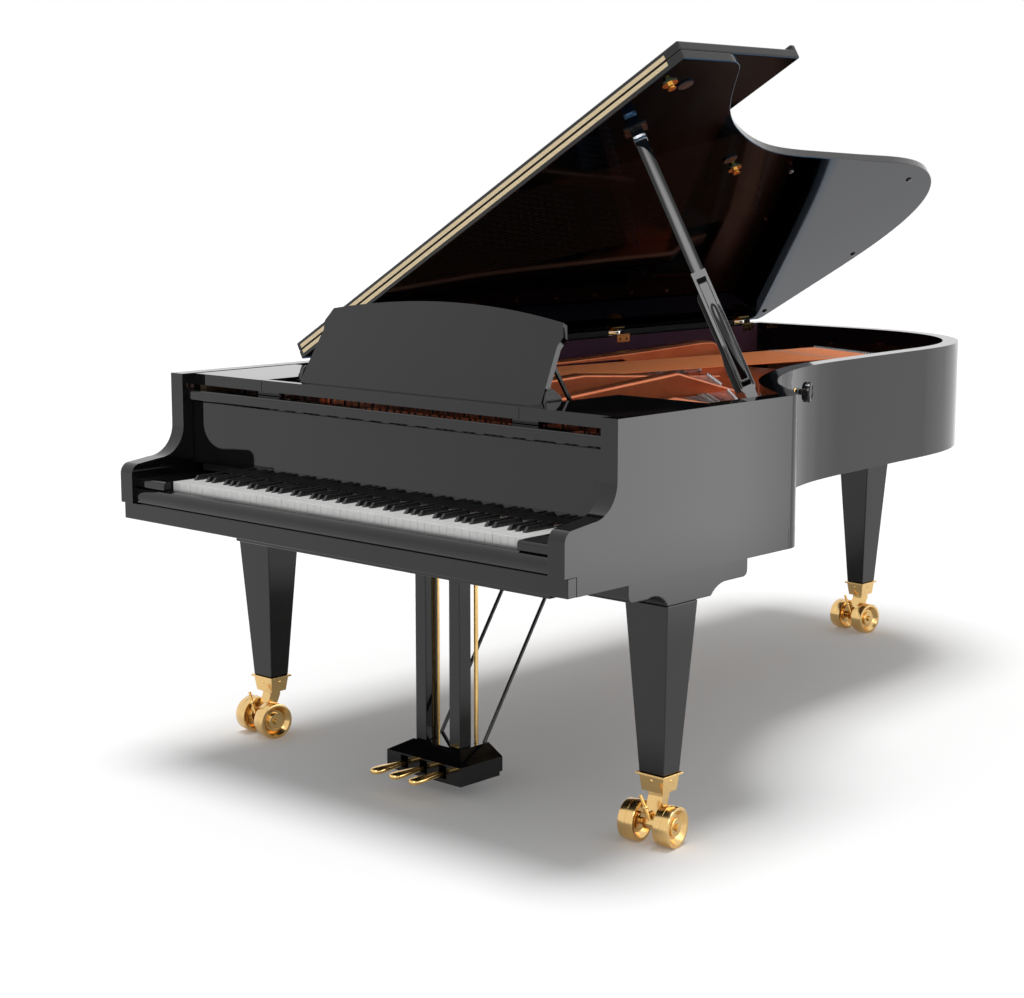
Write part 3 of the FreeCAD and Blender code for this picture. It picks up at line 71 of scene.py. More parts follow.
# Softboxes: centre, place they face, width, height and brightness
softboxes = {
    "side_light": ((1.6, 1.25, 0.8), (0.0, 1.25, 0.8), 2.5, 1.6, 2.3),
    "front_light": ((2.5, -2.9, 3.95), (0.5, 0.8, 1.3), 2.4, 2.4, 6.0),
}

# Lid, drawn closed and turned up about the spine
half_width = (rim_high.x - rim_low.x) / 2
hinge_level = 1.023
lid_angle = math.radians(30.0)
lid_under = 1.026
lid_over = 1.050
upward = Vector((0.0, 0.0, 1.0))
lid_up = Vector((-math.sin(lid_angle), 0.0, math.cos(lid_angle)))

# Hinge of the flap: painted shade in the gap between its two leaves
flap_line = 0.635
gap_shade_half_width = 0.0032
gap_shade_edge = 0.0004

# Slanting line behind which the lid's underside gets a greyer painted reflection, as a sum of X and Y
grey_reflection_line = 2.07
grey_reflection_blend = 0.12

# Levels between which a value takes a colour from dark to light
ramp_start = 0.3
ramp_end = 0.7

caster_corners = ("left", "right", "rear")


def place(x, y, z):
    return Vector((middle_x + x, front_y + y, z))


def on_lid(x, y, z):
    """Place on the open lid, from its place on the closed one."""
    across = x + half_width
    rise = z - hinge_level
    return place(-half_width + across * math.cos(lid_angle) - rise * math.sin(lid_angle), y,
                 hinge_level + across * math.sin(lid_angle) + rise * math.cos(lid_angle))


# Material nodes
def new_material(name):
    material = bpy.data.materials.new(name)
    material.use_nodes = True
    tree = material.node_tree
    return material, tree, tree.nodes["Principled BSDF"]


def noise(tree, scale, stretch=(1.0, 1.0, 1.0), detail=4.0):
    """Noise in the object's own space, stretched to make grain or brush marks."""
    source = tree.nodes.new("ShaderNodeTexCoord")
    mapping = tree.nodes.new("ShaderNodeMapping")
    mapping.inputs["Scale"].default_value = stretch
    texture = tree.nodes.new("ShaderNodeTexNoise")
    texture.inputs["Scale"].default_value = scale
    texture.inputs["Detail"].default_value = detail
    tree.links.new(source.outputs["Object"], mapping.inputs["Vector"])
    tree.links.new(mapping.outputs["Vector"], texture.inputs["Vector"])
    return texture.outputs["Fac"]


def tint(tree, shader, value, dark, light):
    """Base colour that wanders between two tones."""
    ramp = tree.nodes.new("ShaderNodeValToRGB")
    ramp.color_ramp.elements[0].position = ramp_start
    ramp.color_ramp.elements[0].color = (*dark, 1.0)
    ramp.color_ramp.elements[1].position = ramp_end
    ramp.color_ramp.elements[1].color = (*light, 1.0)
    tree.links.new(value, ramp.inputs["Fac"])
    tree.links.new(ramp.outputs["Color"], shader.inputs["Base Color"])


def gloss(tree, shader, value, smooth, rough):
    """Roughness that wanders between two levels."""
    spread = tree.nodes.new("ShaderNodeMapRange")
    spread.inputs["To Min"].default_value = smooth
    spread.inputs["To Max"].default_value = rough
    tree.links.new(value, spread.inputs["Value"])
    tree.links.new(spread.outputs["Result"], shader.inputs["Roughness"])


def relief(tree, shader, value, strength, depth):
    bump = tree.nodes.new("ShaderNodeBump")
    bump.inputs["Strength"].default_value = strength
    bump.inputs["Distance"].default_value = depth
    tree.links.new(value, bump.inputs["Height"])
    tree.links.new(bump.outputs["Normal"], shader.inputs["Normal"])


# Materials
def black_lacquer():
    """Deep polished polyester with the faintest ripple and haze."""
    material, tree, shader = new_material("black_lacquer")
    tint(tree, shader, noise(tree, 6.0), (0.0035, 0.0035, 0.0037), (0.0055, 0.0055, 0.0058))
    gloss(tree, shader, noise(tree, 18.0), 0.02, 0.05)
    relief(tree, shader, noise(tree, 45.0), 0.004, 0.001)
    shader.inputs["IOR"].default_value = 1.46
    return material


def lid_underside_painted_reflection():
    """Painted reflection under the lid: metallic blue-black over the strings, and grey towards the tail for
    the bright surroundings reflected there.
    """
    material, tree, shader = new_material("lid_underside_painted_reflection")
    source = tree.nodes.new("ShaderNodeTexCoord")
    towards_tail = tree.nodes.new("ShaderNodeVectorMath")
    towards_tail.operation = "DOT_PRODUCT"
    towards_tail.inputs[1].default_value = (1.0, 1.0, 0.0)
    tree.links.new(source.outputs["Object"], towards_tail.inputs[0])
    line = middle_x + front_y + grey_reflection_line
    share = tree.nodes.new("ShaderNodeMapRange")
    share.inputs["From Min"].default_value = line - grey_reflection_blend
    share.inputs["From Max"].default_value = line
    share.inputs["To Min"].default_value = ramp_start
    share.inputs["To Max"].default_value = ramp_end
    tree.links.new(towards_tail.outputs["Value"], share.inputs["Value"])
    # Blue-black and grey on a metallic base are painted reflection, not the colour of the lacquer
    tint(tree, shader, share.outputs["Result"], (0.024, 0.064, 0.120), (0.138, 0.140, 0.149))
    gloss(tree, shader, noise(tree, 18.0), 0.03, 0.06)
    relief(tree, shader, noise(tree, 45.0), 0.004, 0.001)
    shader.inputs["Metallic"].default_value = 1.0
    shader.inputs["Specular Tint"].default_value = (0.5, 0.5, 0.5, 1.0)
    return material


def satin_black():
    material, tree, shader = new_material("satin_black")
    tint(tree, shader, noise(tree, 30.0), (0.008, 0.008, 0.008), (0.016, 0.016, 0.016))
    gloss(tree, shader, noise(tree, 60.0), 0.22, 0.34)
    relief(tree, shader, noise(tree, 400.0), 0.05, 0.0005)
    return material


def cast_bronze():
    """Copper-coloured lacquer over a sand-cast skin."""
    material, tree, shader = new_material("cast_bronze")
    tint(tree, shader, noise(tree, 9.0), (0.80, 0.200, 0.075), (0.93, 0.285, 0.115))
    gloss(tree, shader, noise(tree, 30.0), 0.24, 0.36)
    relief(tree, shader, noise(tree, 260.0), 0.10, 0.0008)
    shader.inputs["Metallic"].default_value = 0.7
    return material


def polished_brass():
    material, tree, shader = new_material("polished_brass")
    tint(tree, shader, noise(tree, 25.0), (0.78, 0.50, 0.17), (0.88, 0.60, 0.24))
    gloss(tree, shader, noise(tree, 70.0), 0.12, 0.22)
    relief(tree, shader, noise(tree, 500.0), 0.03, 0.0003)
    shader.inputs["Metallic"].default_value = 1.0
    return material


def brushed_brass():
    """Turned brass of the casters: satin, with fine tool marks."""
    material, tree, shader = new_material("brushed_brass")
    marks = noise(tree, 60.0, (40.0, 2.0, 2.0), 6.0)
    tint(tree, shader, marks, (0.72, 0.47, 0.18), (0.84, 0.58, 0.26))
    gloss(tree, shader, marks, 0.15, 0.24)
    relief(tree, shader, marks, 0.05, 0.0003)
    shader.inputs["Metallic"].default_value = 1.0
    return material


def across_strip(tree):
    """Distance from the middle of the flap's hinge, measured across the strip."""
    source = tree.nodes.new("ShaderNodeTexCoord")
    dot = tree.nodes.new("ShaderNodeVectorMath")
    dot.operation = "DOT_PRODUCT"
    dot.inputs[1].default_value = lid_up
    offset = tree.nodes.new("ShaderNodeMath")
    offset.operation = "SUBTRACT"
    middle = on_lid(0.0, flap_line, lid_over)
    offset.inputs[1].default_value = middle.dot(lid_up)
    distance = tree.nodes.new("ShaderNodeMath")
    distance.operation = "ABSOLUTE"
    tree.links.new(source.outputs["Object"], dot.inputs[0])
    tree.links.new(dot.outputs["Value"], offset.inputs[0])
    tree.links.new(offset.outputs[0], distance.inputs[0])
    return distance.outputs[0]


def pale_brass_and_gap_shade():
    """Two satin brass leaves brushed along their length, with painted shade in the gap between them."""
    material, tree, shader = new_material("pale_brass_and_gap_shade")
    brushed = noise(tree, 40.0, (1.0, 30.0, 30.0))
    tint(tree, shader, brushed, (0.54, 0.43, 0.265), (0.66, 0.54, 0.355))
    gloss(tree, shader, brushed, 0.22, 0.36)
    relief(tree, shader, brushed, 0.05, 0.0003)
    shader.inputs["Metallic"].default_value = 0.9
    # The near-black band across the middle of the strip is painted shade in the gap between the leaves
    edge = tree.nodes.new("ShaderNodeMapRange")
    edge.inputs["From Min"].default_value = gap_shade_half_width - gap_shade_edge
    edge.inputs["From Max"].default_value = gap_shade_half_width
    leaf = tree.nodes.new("ShaderNodeMix")
    leaf.data_type = "RGBA"
    leaf.inputs["A"].default_value = (0.006, 0.006, 0.006, 1.0)
    brass_link = shader.inputs["Base Color"].links[0]
    tree.links.new(across_strip(tree), edge.inputs["Value"])
    tree.links.new(edge.outputs["Result"], leaf.inputs["Factor"])
    tree.links.new(brass_link.from_socket, leaf.inputs["B"])
    tree.links.new(leaf.outputs["Result"], shader.inputs["Base Color"])
    return material


def drawn_steel():
    material, tree, shader = new_material("drawn_steel")
    tint(tree, shader, noise(tree, 80.0), (0.48, 0.48, 0.50), (0.62, 0.62, 0.63))
    gloss(tree, shader, noise(tree, 120.0), 0.18, 0.30)
    shader.inputs["Metallic"].default_value = 1.0
    return material


def blued_steel():
    material, tree, shader = new_material("blued_steel")
    tint(tree, shader, noise(tree, 90.0), (0.030, 0.028, 0.032), (0.055, 0.050, 0.055))
    gloss(tree, shader, noise(tree, 120.0), 0.20, 0.32)
    shader.inputs["Metallic"].default_value = 1.0
    return material


def copper_winding():
    """Copper wire wound round the bass strings: fine rings along each string."""
    material, tree, shader = new_material("copper_winding")
    rings = noise(tree, 300.0, (0.2, 4.0, 0.2))
    tint(tree, shader, rings, (0.62, 0.18, 0.065), (0.84, 0.29, 0.11))
    gloss(tree, shader, rings, 0.24, 0.36)
    relief(tree, shader, rings, 0.3, 0.0004)
    shader.inputs["Metallic"].default_value = 1.0
    return material


def grained(name, dark, light, stretch, rough):
    """Wood with grain along the direction of the smallest stretch."""
    material, tree, shader = new_material(name)
    grain = noise(tree, 14.0, stretch, 8.0)
    tint(tree, shader, grain, dark, light)
    gloss(tree, shader, grain, rough, rough + 0.12)
    relief(tree, shader, grain, 0.08, 0.0008)
    return material


def key_cover():
    """Smooth off-white key covering."""
    material, tree, shader = new_material("key_cover")
    tint(tree, shader, noise(tree, 12.0), (0.77, 0.77, 0.76), (0.83, 0.83, 0.82))
    gloss(tree, shader, noise(tree, 60.0), 0.12, 0.22)
    relief(tree, shader, noise(tree, 300.0), 0.02, 0.0003)
    return material


def felt(name, dark, light):
    material, tree, shader = new_material(name)
    fibres = noise(tree, 700.0, detail=8.0)
    tint(tree, shader, fibres, dark, light)
    relief(tree, shader, fibres, 0.5, 0.0006)
    shader.inputs["Roughness"].default_value = 0.95
    shader.inputs["Sheen Weight"].default_value = 0.3
    return material


lacquer = black_lacquer()
painted_underside_reflection = lid_underside_painted_reflection()
satin = satin_black()
bronze = cast_bronze()
brass = polished_brass()
caster_brass = brushed_brass()
strip_brass = pale_brass_and_gap_shade()
steel = drawn_steel()
dark_steel = blued_steel()
copper = copper_winding()
beech = grained("bare_wood", (0.17, 0.11, 0.065), (0.25, 0.17, 0.10), (12.0, 1.0, 12.0), 0.5)
spruce = grained("soundboard_wood", (0.22, 0.14, 0.075), (0.32, 0.21, 0.12), (14.0, 0.6, 14.0), 0.3)
ivory = key_cover()
white_felt = felt("white_felt", (0.55, 0.53, 0.47), (0.70, 0.68, 0.61))
plum_felt = felt("plum_felt", (0.046, 0.008, 0.032), (0.088, 0.016, 0.058))
black_felt = felt("black_felt", (0.004, 0.004, 0.004), (0.010, 0.010, 0.010))

slot_materials = {
    "black_lacquer": lacquer,
    "bare_wood": beech,
    "soundboard_wood": spruce,
    "bronze_iron": bronze,
    "steel": steel,
    "copper_wire": copper,
    "brass": brass,
    "white_key": ivory,
    "black_key": satin,
    "felt": white_felt,
    "black_fitting": satin,
}
slot_of = {part["node"]: part["material_slot"] for part in frame["record"]["subparts"]}
body_of = {node: body for body, nodes in frame["record"]["behaviour"]["bodies"].items() for node in nodes}
special_materials = {
    "flap_hinge": strip_brass,
    "flap_leaf": strip_brass,
    "plate_bolts": bronze,
    "tuning_pins": dark_steel,
    "lyre_braces": satin,
    "desk_strut": satin,
    "caster_caps": caster_brass,
}
for corner in caster_corners:
    for start in ("caster_fork_", "caster_wheels_"):
        special_materials[start + corner] = caster_brass


def dress(obj, material):
    obj.data.materials.clear()
    obj.data.materials.append(material)


for node, obj in frame["nodes"].items():
    dress(obj, special_materials.get(node, slot_materials[slot_of[node]]))


# Pieces
weld_distance = 1e-5
flat_angle = math.radians(0.4)
bevel_angle = math.radians(30.0)
crisp_edge = math.radians(32.0)
edge_steps = 3
small_edge_steps = 2


def add_piece(name, form, material, body, crisp=None):
    """Smooth-shaded piece from a bmesh, riding on a body. Edges above the crisp angle stay sharp."""
    mesh = bpy.data.meshes.new(name)
    bmesh.ops.recalc_face_normals(form, faces=form.faces)
    form.to_mesh(mesh)
    form.free()
    mesh.polygons.foreach_set("use_smooth", [True] * len(mesh.polygons))
    if crisp:
        mesh.set_sharp_from_angle(angle=crisp)
    piece = bpy.data.objects.new(name, mesh)
    bpy.context.scene.collection.objects.link(piece)
    dress(piece, material)
    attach(piece, body)
    return piece


def round_edges(piece, width, steps):
    bevel = piece.modifiers.new("edges", "BEVEL")
    bevel.width = width
    bevel.segments = steps
    bevel.limit_method = "ANGLE"
    bevel.angle_limit = bevel_angle
    bevel.harden_normals = True
    piece.modifiers.new("shading", "WEIGHTED_NORMAL").keep_sharp = True


def rounded_copy(node, width):
    """Piece with the shape of a CAD node and rounded edges, in place of the node."""
    source = frame["nodes"][node].data
    form = bmesh.new()
    corners = [form.verts.new(vertex.co) for vertex in source.vertices]
    for polygon in source.polygons:
        form.faces.new([corners[index] for index in polygon.vertices])
    bmesh.ops.remove_doubles(form, verts=form.verts, dist=weld_distance)
    bmesh.ops.dissolve_limit(form, angle_limit=flat_angle, verts=form.verts, edges=form.edges)
    piece = add_piece(node + "_rounded", form, source.materials[0], body_of[node])
    round_edges(piece, width, edge_steps)
    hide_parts(node)
    return piece


# Widths of the rounded edges
edge_widths = {
    "case_rim": 0.0025,
    "lid": 0.004,
    "lid_flap": 0.004,
    "music_desk": 0.003,
    "desk_base": 0.0015,
    "music_shelf_left": 0.002,
    "music_shelf_right": 0.002,
    "front_board": 0.0025,
    "key_slip": 0.001,
    "key_blocks": 0.0015,
    "fallboard": 0.0012,
    "keybed": 0.003,
    "leg_blocks": 0.003,
    "front_legs": 0.003,
    "rear_leg": 0.003,
    "lyre_head": 0.002,
    "lyre_posts": 0.0025,
    "lyre_box": 0.002,
    "long_prop": 0.002,
    "short_prop": 0.0015,
    "white_keys": 0.0006,
    "black_keys": 0.0009,
    "caster_caps": 0.0012,
    "soft_pedal": 0.003,
    "sostenuto_pedal": 0.003,
    "damper_pedal": 0.003,
    "prop_bracket": 0.0015,
}
rounded = {node: rounded_copy(node, width) for node, width in edge_widths.items()}


# Lid underside, with painted reflection
facing_down = 0.99


def paint_underside_reflection(piece):
    """Gives the faces that look down from the open lid the material with the painted reflection."""
    piece.data.materials.append(painted_underside_reflection)
    for polygon in piece.data.polygons:
        if polygon.normal.dot(-lid_up) > facing_down:
            polygon.material_index = 1


paint_underside_reflection(rounded["lid"])
paint_underside_reflection(rounded["lid_flap"])


# Forms of the small pieces
def skin(form, rings):
    """Joins rings of points one after another and closes both ends.

    An end of one point needs no closing, nor do rings that come back to the first one.
    """
    for first, second in zip(rings, rings[1:]):
        count = max(len(first), len(second))
        for step in range(count):
            after = (step + 1) % count
            corners = [first[step % len(first)], first[after % len(first)],
                       second[after % len(second)], second[step % len(second)]]
            form.faces.new(list(dict.fromkeys(corners)))
    if rings[0] is rings[-1]:
        return
    for ring in (rings[0], rings[-1]):
        if len(ring) > 2:
            form.faces.new(ring)


def turn_angles(count):
    """Equal angles once round."""
    return [2 * math.pi * step / count for step in range(count)]


def turned(form, base, axis, profile, sides, bored=False):
    """Turned shape, from pairs of radius and distance along an axis. A bored one keeps its hole."""
    axis = axis.normalized()
    side = axis.orthogonal().normalized()
    other = axis.cross(side)
    rings = []
    for radius, along in profile:
        centre = base + axis * along
        angles = turn_angles(sides if radius else 1)
        rings.append([form.verts.new(centre + (side * math.cos(angle) + other * math.sin(angle)) * radius)
                      for angle in angles])
    if bored:
        rings.append(rings[0])
    skin(form, rings)


def drawn(form, stations):
    """Bar through stations, each a list of corner places."""
    skin(form, [[form.verts.new(corner) for corner in station] for station in stations])


def dome(radius, height):
    """Profile of a flat-bottomed button."""
    return ((0.0, 0.0), (radius, 0.0), (radius * 0.96, height * 0.45),
            (radius * 0.7, height * 0.85), (0.0, height))


def rod(radius, length):
    """Profile of a rod with rounded ends."""
    soft = radius * 0.6
    return ((0.0, 0.0), (radius - soft, 0.0), (radius, soft),
            (radius, length - soft), (radius - soft, length), (0.0, length))


def islands(node):
    """Corner places of each separate solid of a node."""
    form = bmesh.new()
    form.from_mesh(frame["nodes"][node].data)
    bmesh.ops.remove_doubles(form, verts=form.verts, dist=weld_distance)
    waiting = set(form.verts)
    groups = []
    while waiting:
        front = [waiting.pop()]
        group = []
        while front:
            corner = front.pop()
            group.append(corner.co.copy())
            near = {edge.other_vert(corner) for edge in corner.link_edges} & waiting
            waiting -= near
            front.extend(near)
        groups.append(group)
    form.free()
    return groups


def middle_of(points):
    return sum(points, Vector()) / len(points)


# Strings: share of its length at which a string crosses the bridge, and sizes of the fittings
bridge_shares = {"treble_strings": 0.86, "bass_strings": 0.90}
agraffe_radius = 0.0042
agraffe_height = 0.014
agraffe_sink = 0.008
agraffe_setback = 0.004
agraffe_sides = 10
bridge_pin_radius = 0.0010
bridge_pin_length = 0.009
bridge_pin_sink = 0.004
bridge_pin_spread = 0.011
bridge_pin_offset = 0.0016
bridge_pin_sides = 6
hitch_pin_radius = 0.0026
hitch_pin_length = 0.021
hitch_pin_sink = 0.014
hitch_pin_sides = 8


def string_lines(node):
    """Front and rear ends of each string."""
    lines = []
    for group in islands(node):
        first = min(corner.y for corner in group)
        last = max(corner.y for corner in group)
        halfway = (first + last) / 2
        lines.append((middle_of([corner for corner in group if corner.y < halfway]),
                      middle_of([corner for corner in group if corner.y >= halfway])))
    return lines


def add_string_fittings(node, bridge_share):
    """Agraffe at the front, a pair of pins on the bridge and a hitch pin at the end of each string."""
    agraffes = bmesh.new()
    bridge_pins = bmesh.new()
    hitch_pins = bmesh.new()
    agraffe = rod(agraffe_radius, agraffe_height)
    bridge_pin = rod(bridge_pin_radius, bridge_pin_length)
    hitch_pin = rod(hitch_pin_radius, hitch_pin_length)
    for front, rear in string_lines(node):
        run = rear - front
        along = run.normalized()
        beside = along.cross(upward)
        foot = front + along * agraffe_setback - upward * agraffe_sink
        turned(agraffes, foot, upward, agraffe, agraffe_sides)
        crossing = front + run * bridge_share
        for way in (-1, 1):
            foot = crossing + along * (way * bridge_pin_spread) + beside * (way * bridge_pin_offset)
            turned(bridge_pins, foot - upward * bridge_pin_sink, upward, bridge_pin, bridge_pin_sides)
        turned(hitch_pins, rear - upward * hitch_pin_sink, upward, hitch_pin, hitch_pin_sides)
    add_piece(node + "_agraffes", agraffes, brass, "case")
    add_piece(node + "_bridge_pins", bridge_pins, steel, "case")
    add_piece(node + "_hitch_pins", hitch_pins, steel, "case")


for node, bridge_share in bridge_shares.items():
    add_string_fittings(node, bridge_share)


# Plate bar over the bass strings: place across, place back, underside and top
bass_bar = (
    (-0.622, 0.550, 0.945, 0.984),
    (-0.620, 0.575, 0.962, 0.988),
    (-0.618, 0.620, 0.998, 1.014),
    (-0.612, 0.750, 0.998, 1.014),
    (-0.606, 0.830, 0.974, 0.996),
    (-0.572, 1.250, 0.967, 0.981),
    (-0.556, 1.500, 0.967, 0.980),
    (-0.538, 1.740, 0.967, 0.989),
    (-0.528, 1.860, 0.917, 0.993),
    (-0.508, 2.120, 0.917, 1.006),
    (-0.504, 2.165, 0.917, 1.003),
    (-0.498, 2.250, 0.917, 0.966),
    (-0.494, 2.320, 0.917, 0.944),
    (-0.490, 2.420, 0.917, 0.922),
)
bass_bar_width = 0.042
bass_bar_slope = 0.008
bass_bar_edge = 0.003


def add_bass_bar():
    form = bmesh.new()
    side = bass_bar_width / 2
    flat = side - bass_bar_slope
    stations = []
    for x, y, low, high in bass_bar:
        shoulder = high - min(bass_bar_slope, (high - low) / 2)
        outline = ((-side, low), (-side, shoulder), (-flat, high),
                   (flat, high), (side, shoulder), (side, low))
        stations.append([place(x + across, y, level) for across, level in outline])
    drawn(form, stations)
    piece = add_piece("plate_bass_bar", form, bronze, "case")
    round_edges(piece, bass_bar_edge, edge_steps)


add_bass_bar()


# Felts: strips behind the keys and along the inside of the spine
inner_half = 0.722
spine_start = 0.66
spine_end = 2.735
spine_felt_sink = 0.0005
spine_felt_proud = 0.0015
spine_felt_low = 0.922
spine_felt_high = 1.015
key_felt_low = (-0.716, 0.2290, 0.7600)
key_felt_high = (0.716, 0.2325, 0.7830)
felt_edge_share = 0.3


def add_felt(name, low, high, material):
    """Straight strip with soft edges between two corner places."""
    form = bmesh.new()
    corners = ((low.x, low.z), (high.x, low.z), (high.x, high.z), (low.x, high.z))
    drawn(form, [[Vector((x, y, z)) for x, z in corners] for y in (low.y, high.y)])
    piece = add_piece(name, form, material, "case")
    round_edges(piece, min(high.x - low.x, high.z - low.z) * felt_edge_share, small_edge_steps)


add_felt("spine_felt", place(-inner_half - spine_felt_sink, spine_start, spine_felt_low),
         place(-inner_half + spine_felt_proud, spine_end, spine_felt_high), plum_felt)
add_felt("key_felt", place(*key_felt_low), place(*key_felt_high), black_felt)


# Seals and hinges along the spine. The seal's section gives places in from the spine, and levels.
seal_section = ((0.004, 1.0195), (0.018, 1.0195), (0.018, 1.0340), (0.004, 1.0265))
seal_gap = 0.004
seal_edge = 0.0015
hinge_screw_radius = 0.0040
hinge_screw_rise = 0.0016
hinge_screw_share = 0.5
hinge_screw_level = 1.006
screw_seat = 0.0019
screw_sides = 14
leaf_start = 0.006
leaf_end = 0.036
leaf_thickness = 0.002
leaf_edge = 0.0006
leaf_screw_place = 0.024

hinge_groups = sorted(islands("lid_hinges"), key=lambda group: middle_of(group).y)
hinge_places = [(min(corner.y for corner in group), max(corner.y for corner in group))
                for group in hinge_groups]


def add_spine_seal():
    """Strips on the spine between the hinges, which close the slit under the lid."""
    starts = [front_y + spine_start] + [last + seal_gap for first, last in hinge_places]
    ends = [first - seal_gap for first, last in hinge_places] + [front_y + spine_end]
    for number, (first, last) in enumerate(zip(starts, ends)):
        form = bmesh.new()
        drawn(form, [[Vector((middle_x - half_width + across, back, level)) for across, level in seal_section]
                     for back in (first, last)])
        piece = add_piece("spine_seal_%d" % number, form, black_felt, "case")
        round_edges(piece, seal_edge, small_edge_steps)


add_spine_seal()


def add_hinge_details():
    """Screws on the tabs, and the leaves on the lid with their screws."""
    screws = bmesh.new()
    leaf_screws = bmesh.new()
    leaves = bmesh.new()
    across = Vector((1.0, 0.0, 0.0))
    head = dome(hinge_screw_radius, hinge_screw_rise)
    leaf_low = lid_under - leaf_thickness
    leaf = ((leaf_start, leaf_low), (leaf_end, leaf_low), (leaf_end, lid_under), (leaf_start, lid_under))
    for first, last in hinge_places:
        centre = (first + last) / 2 - front_y
        half_length = (last - first) / 2
        for way in (-1, 1):
            spot = centre + way * half_length * hinge_screw_share
            on_tab = place(-inner_half + screw_seat, spot, hinge_screw_level)
            on_leaf = on_lid(-half_width + leaf_screw_place, spot, lid_under - screw_seat)
            turned(screws, on_tab, across, head, screw_sides)
            turned(leaf_screws, on_leaf, -lid_up, head, screw_sides)
        drawn(leaves, [[on_lid(-half_width + x, back, z) for x, z in leaf]
                       for back in (centre - half_length, centre + half_length)])
    add_piece("hinge_screws", screws, dark_steel, "case")
    add_piece("hinge_leaf_screws", leaf_screws, dark_steel, "lid")
    piece = add_piece("hinge_lid_leaves", leaves, brass, "lid")
    round_edges(piece, leaf_edge, small_edge_steps)


add_hinge_details()


# Lid prop, square to the lid, with the short prop in a slot of its front face
joints = {joint["name"]: joint for joint in frame["record"]["behaviour"]["joints"]}
prop_side = -Vector(joints["prop_fold"]["axis"])
prop_foot = Vector(joints["prop_fold"]["pos_m"])
prop_line = lid_up
prop_front = prop_side.cross(prop_line)
prop_depth = 0.034
prop_half = 0.013
prop_widening = 1.42
prop_grip_end = 0.036
prop_grip_blend = 0.012
prop_thin_depth = 0.028
prop_ridge = 0.0030
prop_flush = 1e-4

# Guard: distance up the prop and reach out from its side
guard_tops = ((0.050, 0.014), (0.120, 0.014), (0.150, 0.009), (0.300, 0.009), (0.312, 0.001))
guard_back = -0.014
guard_front = 0.011
guard_overlap = 0.001
guard_edge = 0.002

# Beads. The tip of the short prop's bead is given as shares of its length and width.
bead_start = 0.050
bead_radius = 0.0026
bead_spacing = 0.0152
bead_sides = 12
left_bead_length = 0.115
right_bead_length = 0.215
short_bead_start = 0.070
short_bead_half = 0.0092
short_bead_rise = 0.0034
short_bead_sink = 0.0012
short_bead_length = 0.205
short_bead_tip = ((0.0, 1.0), (0.86, 1.0), (0.94, 0.9), (0.98, 0.62), (1.0, 0.2))
short_bead_steps = 8

# Ferrule: distance below the prop's top and growth of the collar there
ferrule_half_width = 0.0172
ferrule_half_depth = 0.0205
ferrule_profile = ((0.034, -0.0016), (0.033, 0.0), (0.030, 0.0), (0.029, -0.0006),
                   (0.024, -0.0006), (0.023, 0.0), (0.020, 0.0), (0.019, -0.0016))
ferrule_squareness = 6
ferrule_sides = 32


def on_prop(across, out, along):
    return prop_foot + prop_side * across + prop_front * out + prop_line * along


def widen_prop(piece):
    """Broadens a prop above its bracket, and gives its thin upper part a ridge along the front."""
    form = bmesh.new()
    form.from_mesh(piece.data)
    cuts = [(on_prop(0.0, 0.0, prop_grip_end + step), prop_line) for step in (0.0, prop_grip_blend)]
    for spot, facing in cuts + [(prop_foot, prop_side)]:
        whole = form.verts[:] + form.edges[:] + form.faces[:]
        bmesh.ops.bisect_plane(form, geom=whole, plane_co=spot, plane_no=facing)
    for corner in form.verts:
        offset = corner.co - prop_foot
        across = offset.dot(prop_side)
        along = offset.dot(prop_line)
        in_front = abs(offset.dot(prop_front) - prop_thin_depth / 2) < prop_flush
        if along > prop_grip_end + prop_grip_blend / 2:
            corner.co += prop_side * (across * (prop_widening - 1.0))
        if abs(across) < prop_flush and in_front and along > prop_grip_end:
            corner.co += prop_front * prop_ridge
    form.to_mesh(piece.data)
    form.free()


widen_prop(rounded["long_prop"])
widen_prop(rounded["short_prop"])


def add_prop_guard():
    """Dark guard on the left side of the long prop, stepped in towards its top."""
    form = bmesh.new()
    surface = -prop_half * prop_widening
    inside = surface + guard_overlap
    stations = []
    for along, reach in guard_tops:
        outside = surface - reach
        stations.append([on_prop(inside, guard_back, along), on_prop(outside, guard_back, along),
                         on_prop(outside, guard_front, along), on_prop(inside, guard_front, along)])
    drawn(form, stations)
    piece = add_piece("long_prop_guard", form, black_felt, "long_prop")
    round_edges(piece, guard_edge, small_edge_steps)


add_prop_guard()


def add_long_beads():
    """Thin beads on both edges of the long prop."""
    form = bmesh.new()
    for across, length in ((-bead_spacing, left_bead_length), (bead_spacing, right_bead_length)):
        start = on_prop(across, prop_depth / 2, bead_start)
        turned(form, start, prop_line, rod(bead_radius, length), bead_sides)
    add_piece("long_prop_beads", form, lacquer, "long_prop")


def add_short_bead():
    """One broad bead with an arched tip on the short prop."""
    form = bmesh.new()
    angles = [math.pi * step / short_bead_steps for step in range(short_bead_steps + 1)]
    foot = prop_depth / 2 - short_bead_sink
    stations = []
    for share, width in short_bead_tip:
        along = short_bead_start + short_bead_length * share
        half = short_bead_half * width
        rise = short_bead_rise * width
        stations.append([on_prop(half * math.cos(angle), foot + rise * math.sin(angle), along)
                         for angle in angles])
    drawn(form, stations)
    add_piece("short_prop_bead", form, lacquer, "short_prop")


add_long_beads()
add_short_bead()


def add_prop_ferrule():
    """Bright collar round the upper end of the prop."""
    corners = frame["nodes"]["long_prop"].data.vertices
    top = max((corner.co - prop_foot).dot(prop_line) for corner in corners)
    form = bmesh.new()
    stations = []
    for below, grow in ferrule_profile:
        station = []
        for angle in turn_angles(ferrule_sides):
            across = math.cos(angle)
            out = math.sin(angle)
            power = ferrule_squareness
            square = (abs(across) ** power + abs(out) ** power) ** (1 / power)
            station.append(on_prop((ferrule_half_width + grow) * across / square,
                                   (ferrule_half_depth + grow) * out / square, top - below))
        stations.append(station)
    drawn(form, stations)
    add_piece("prop_ferrule", form, steel, "long_prop", crisp_edge)


add_prop_ferrule()


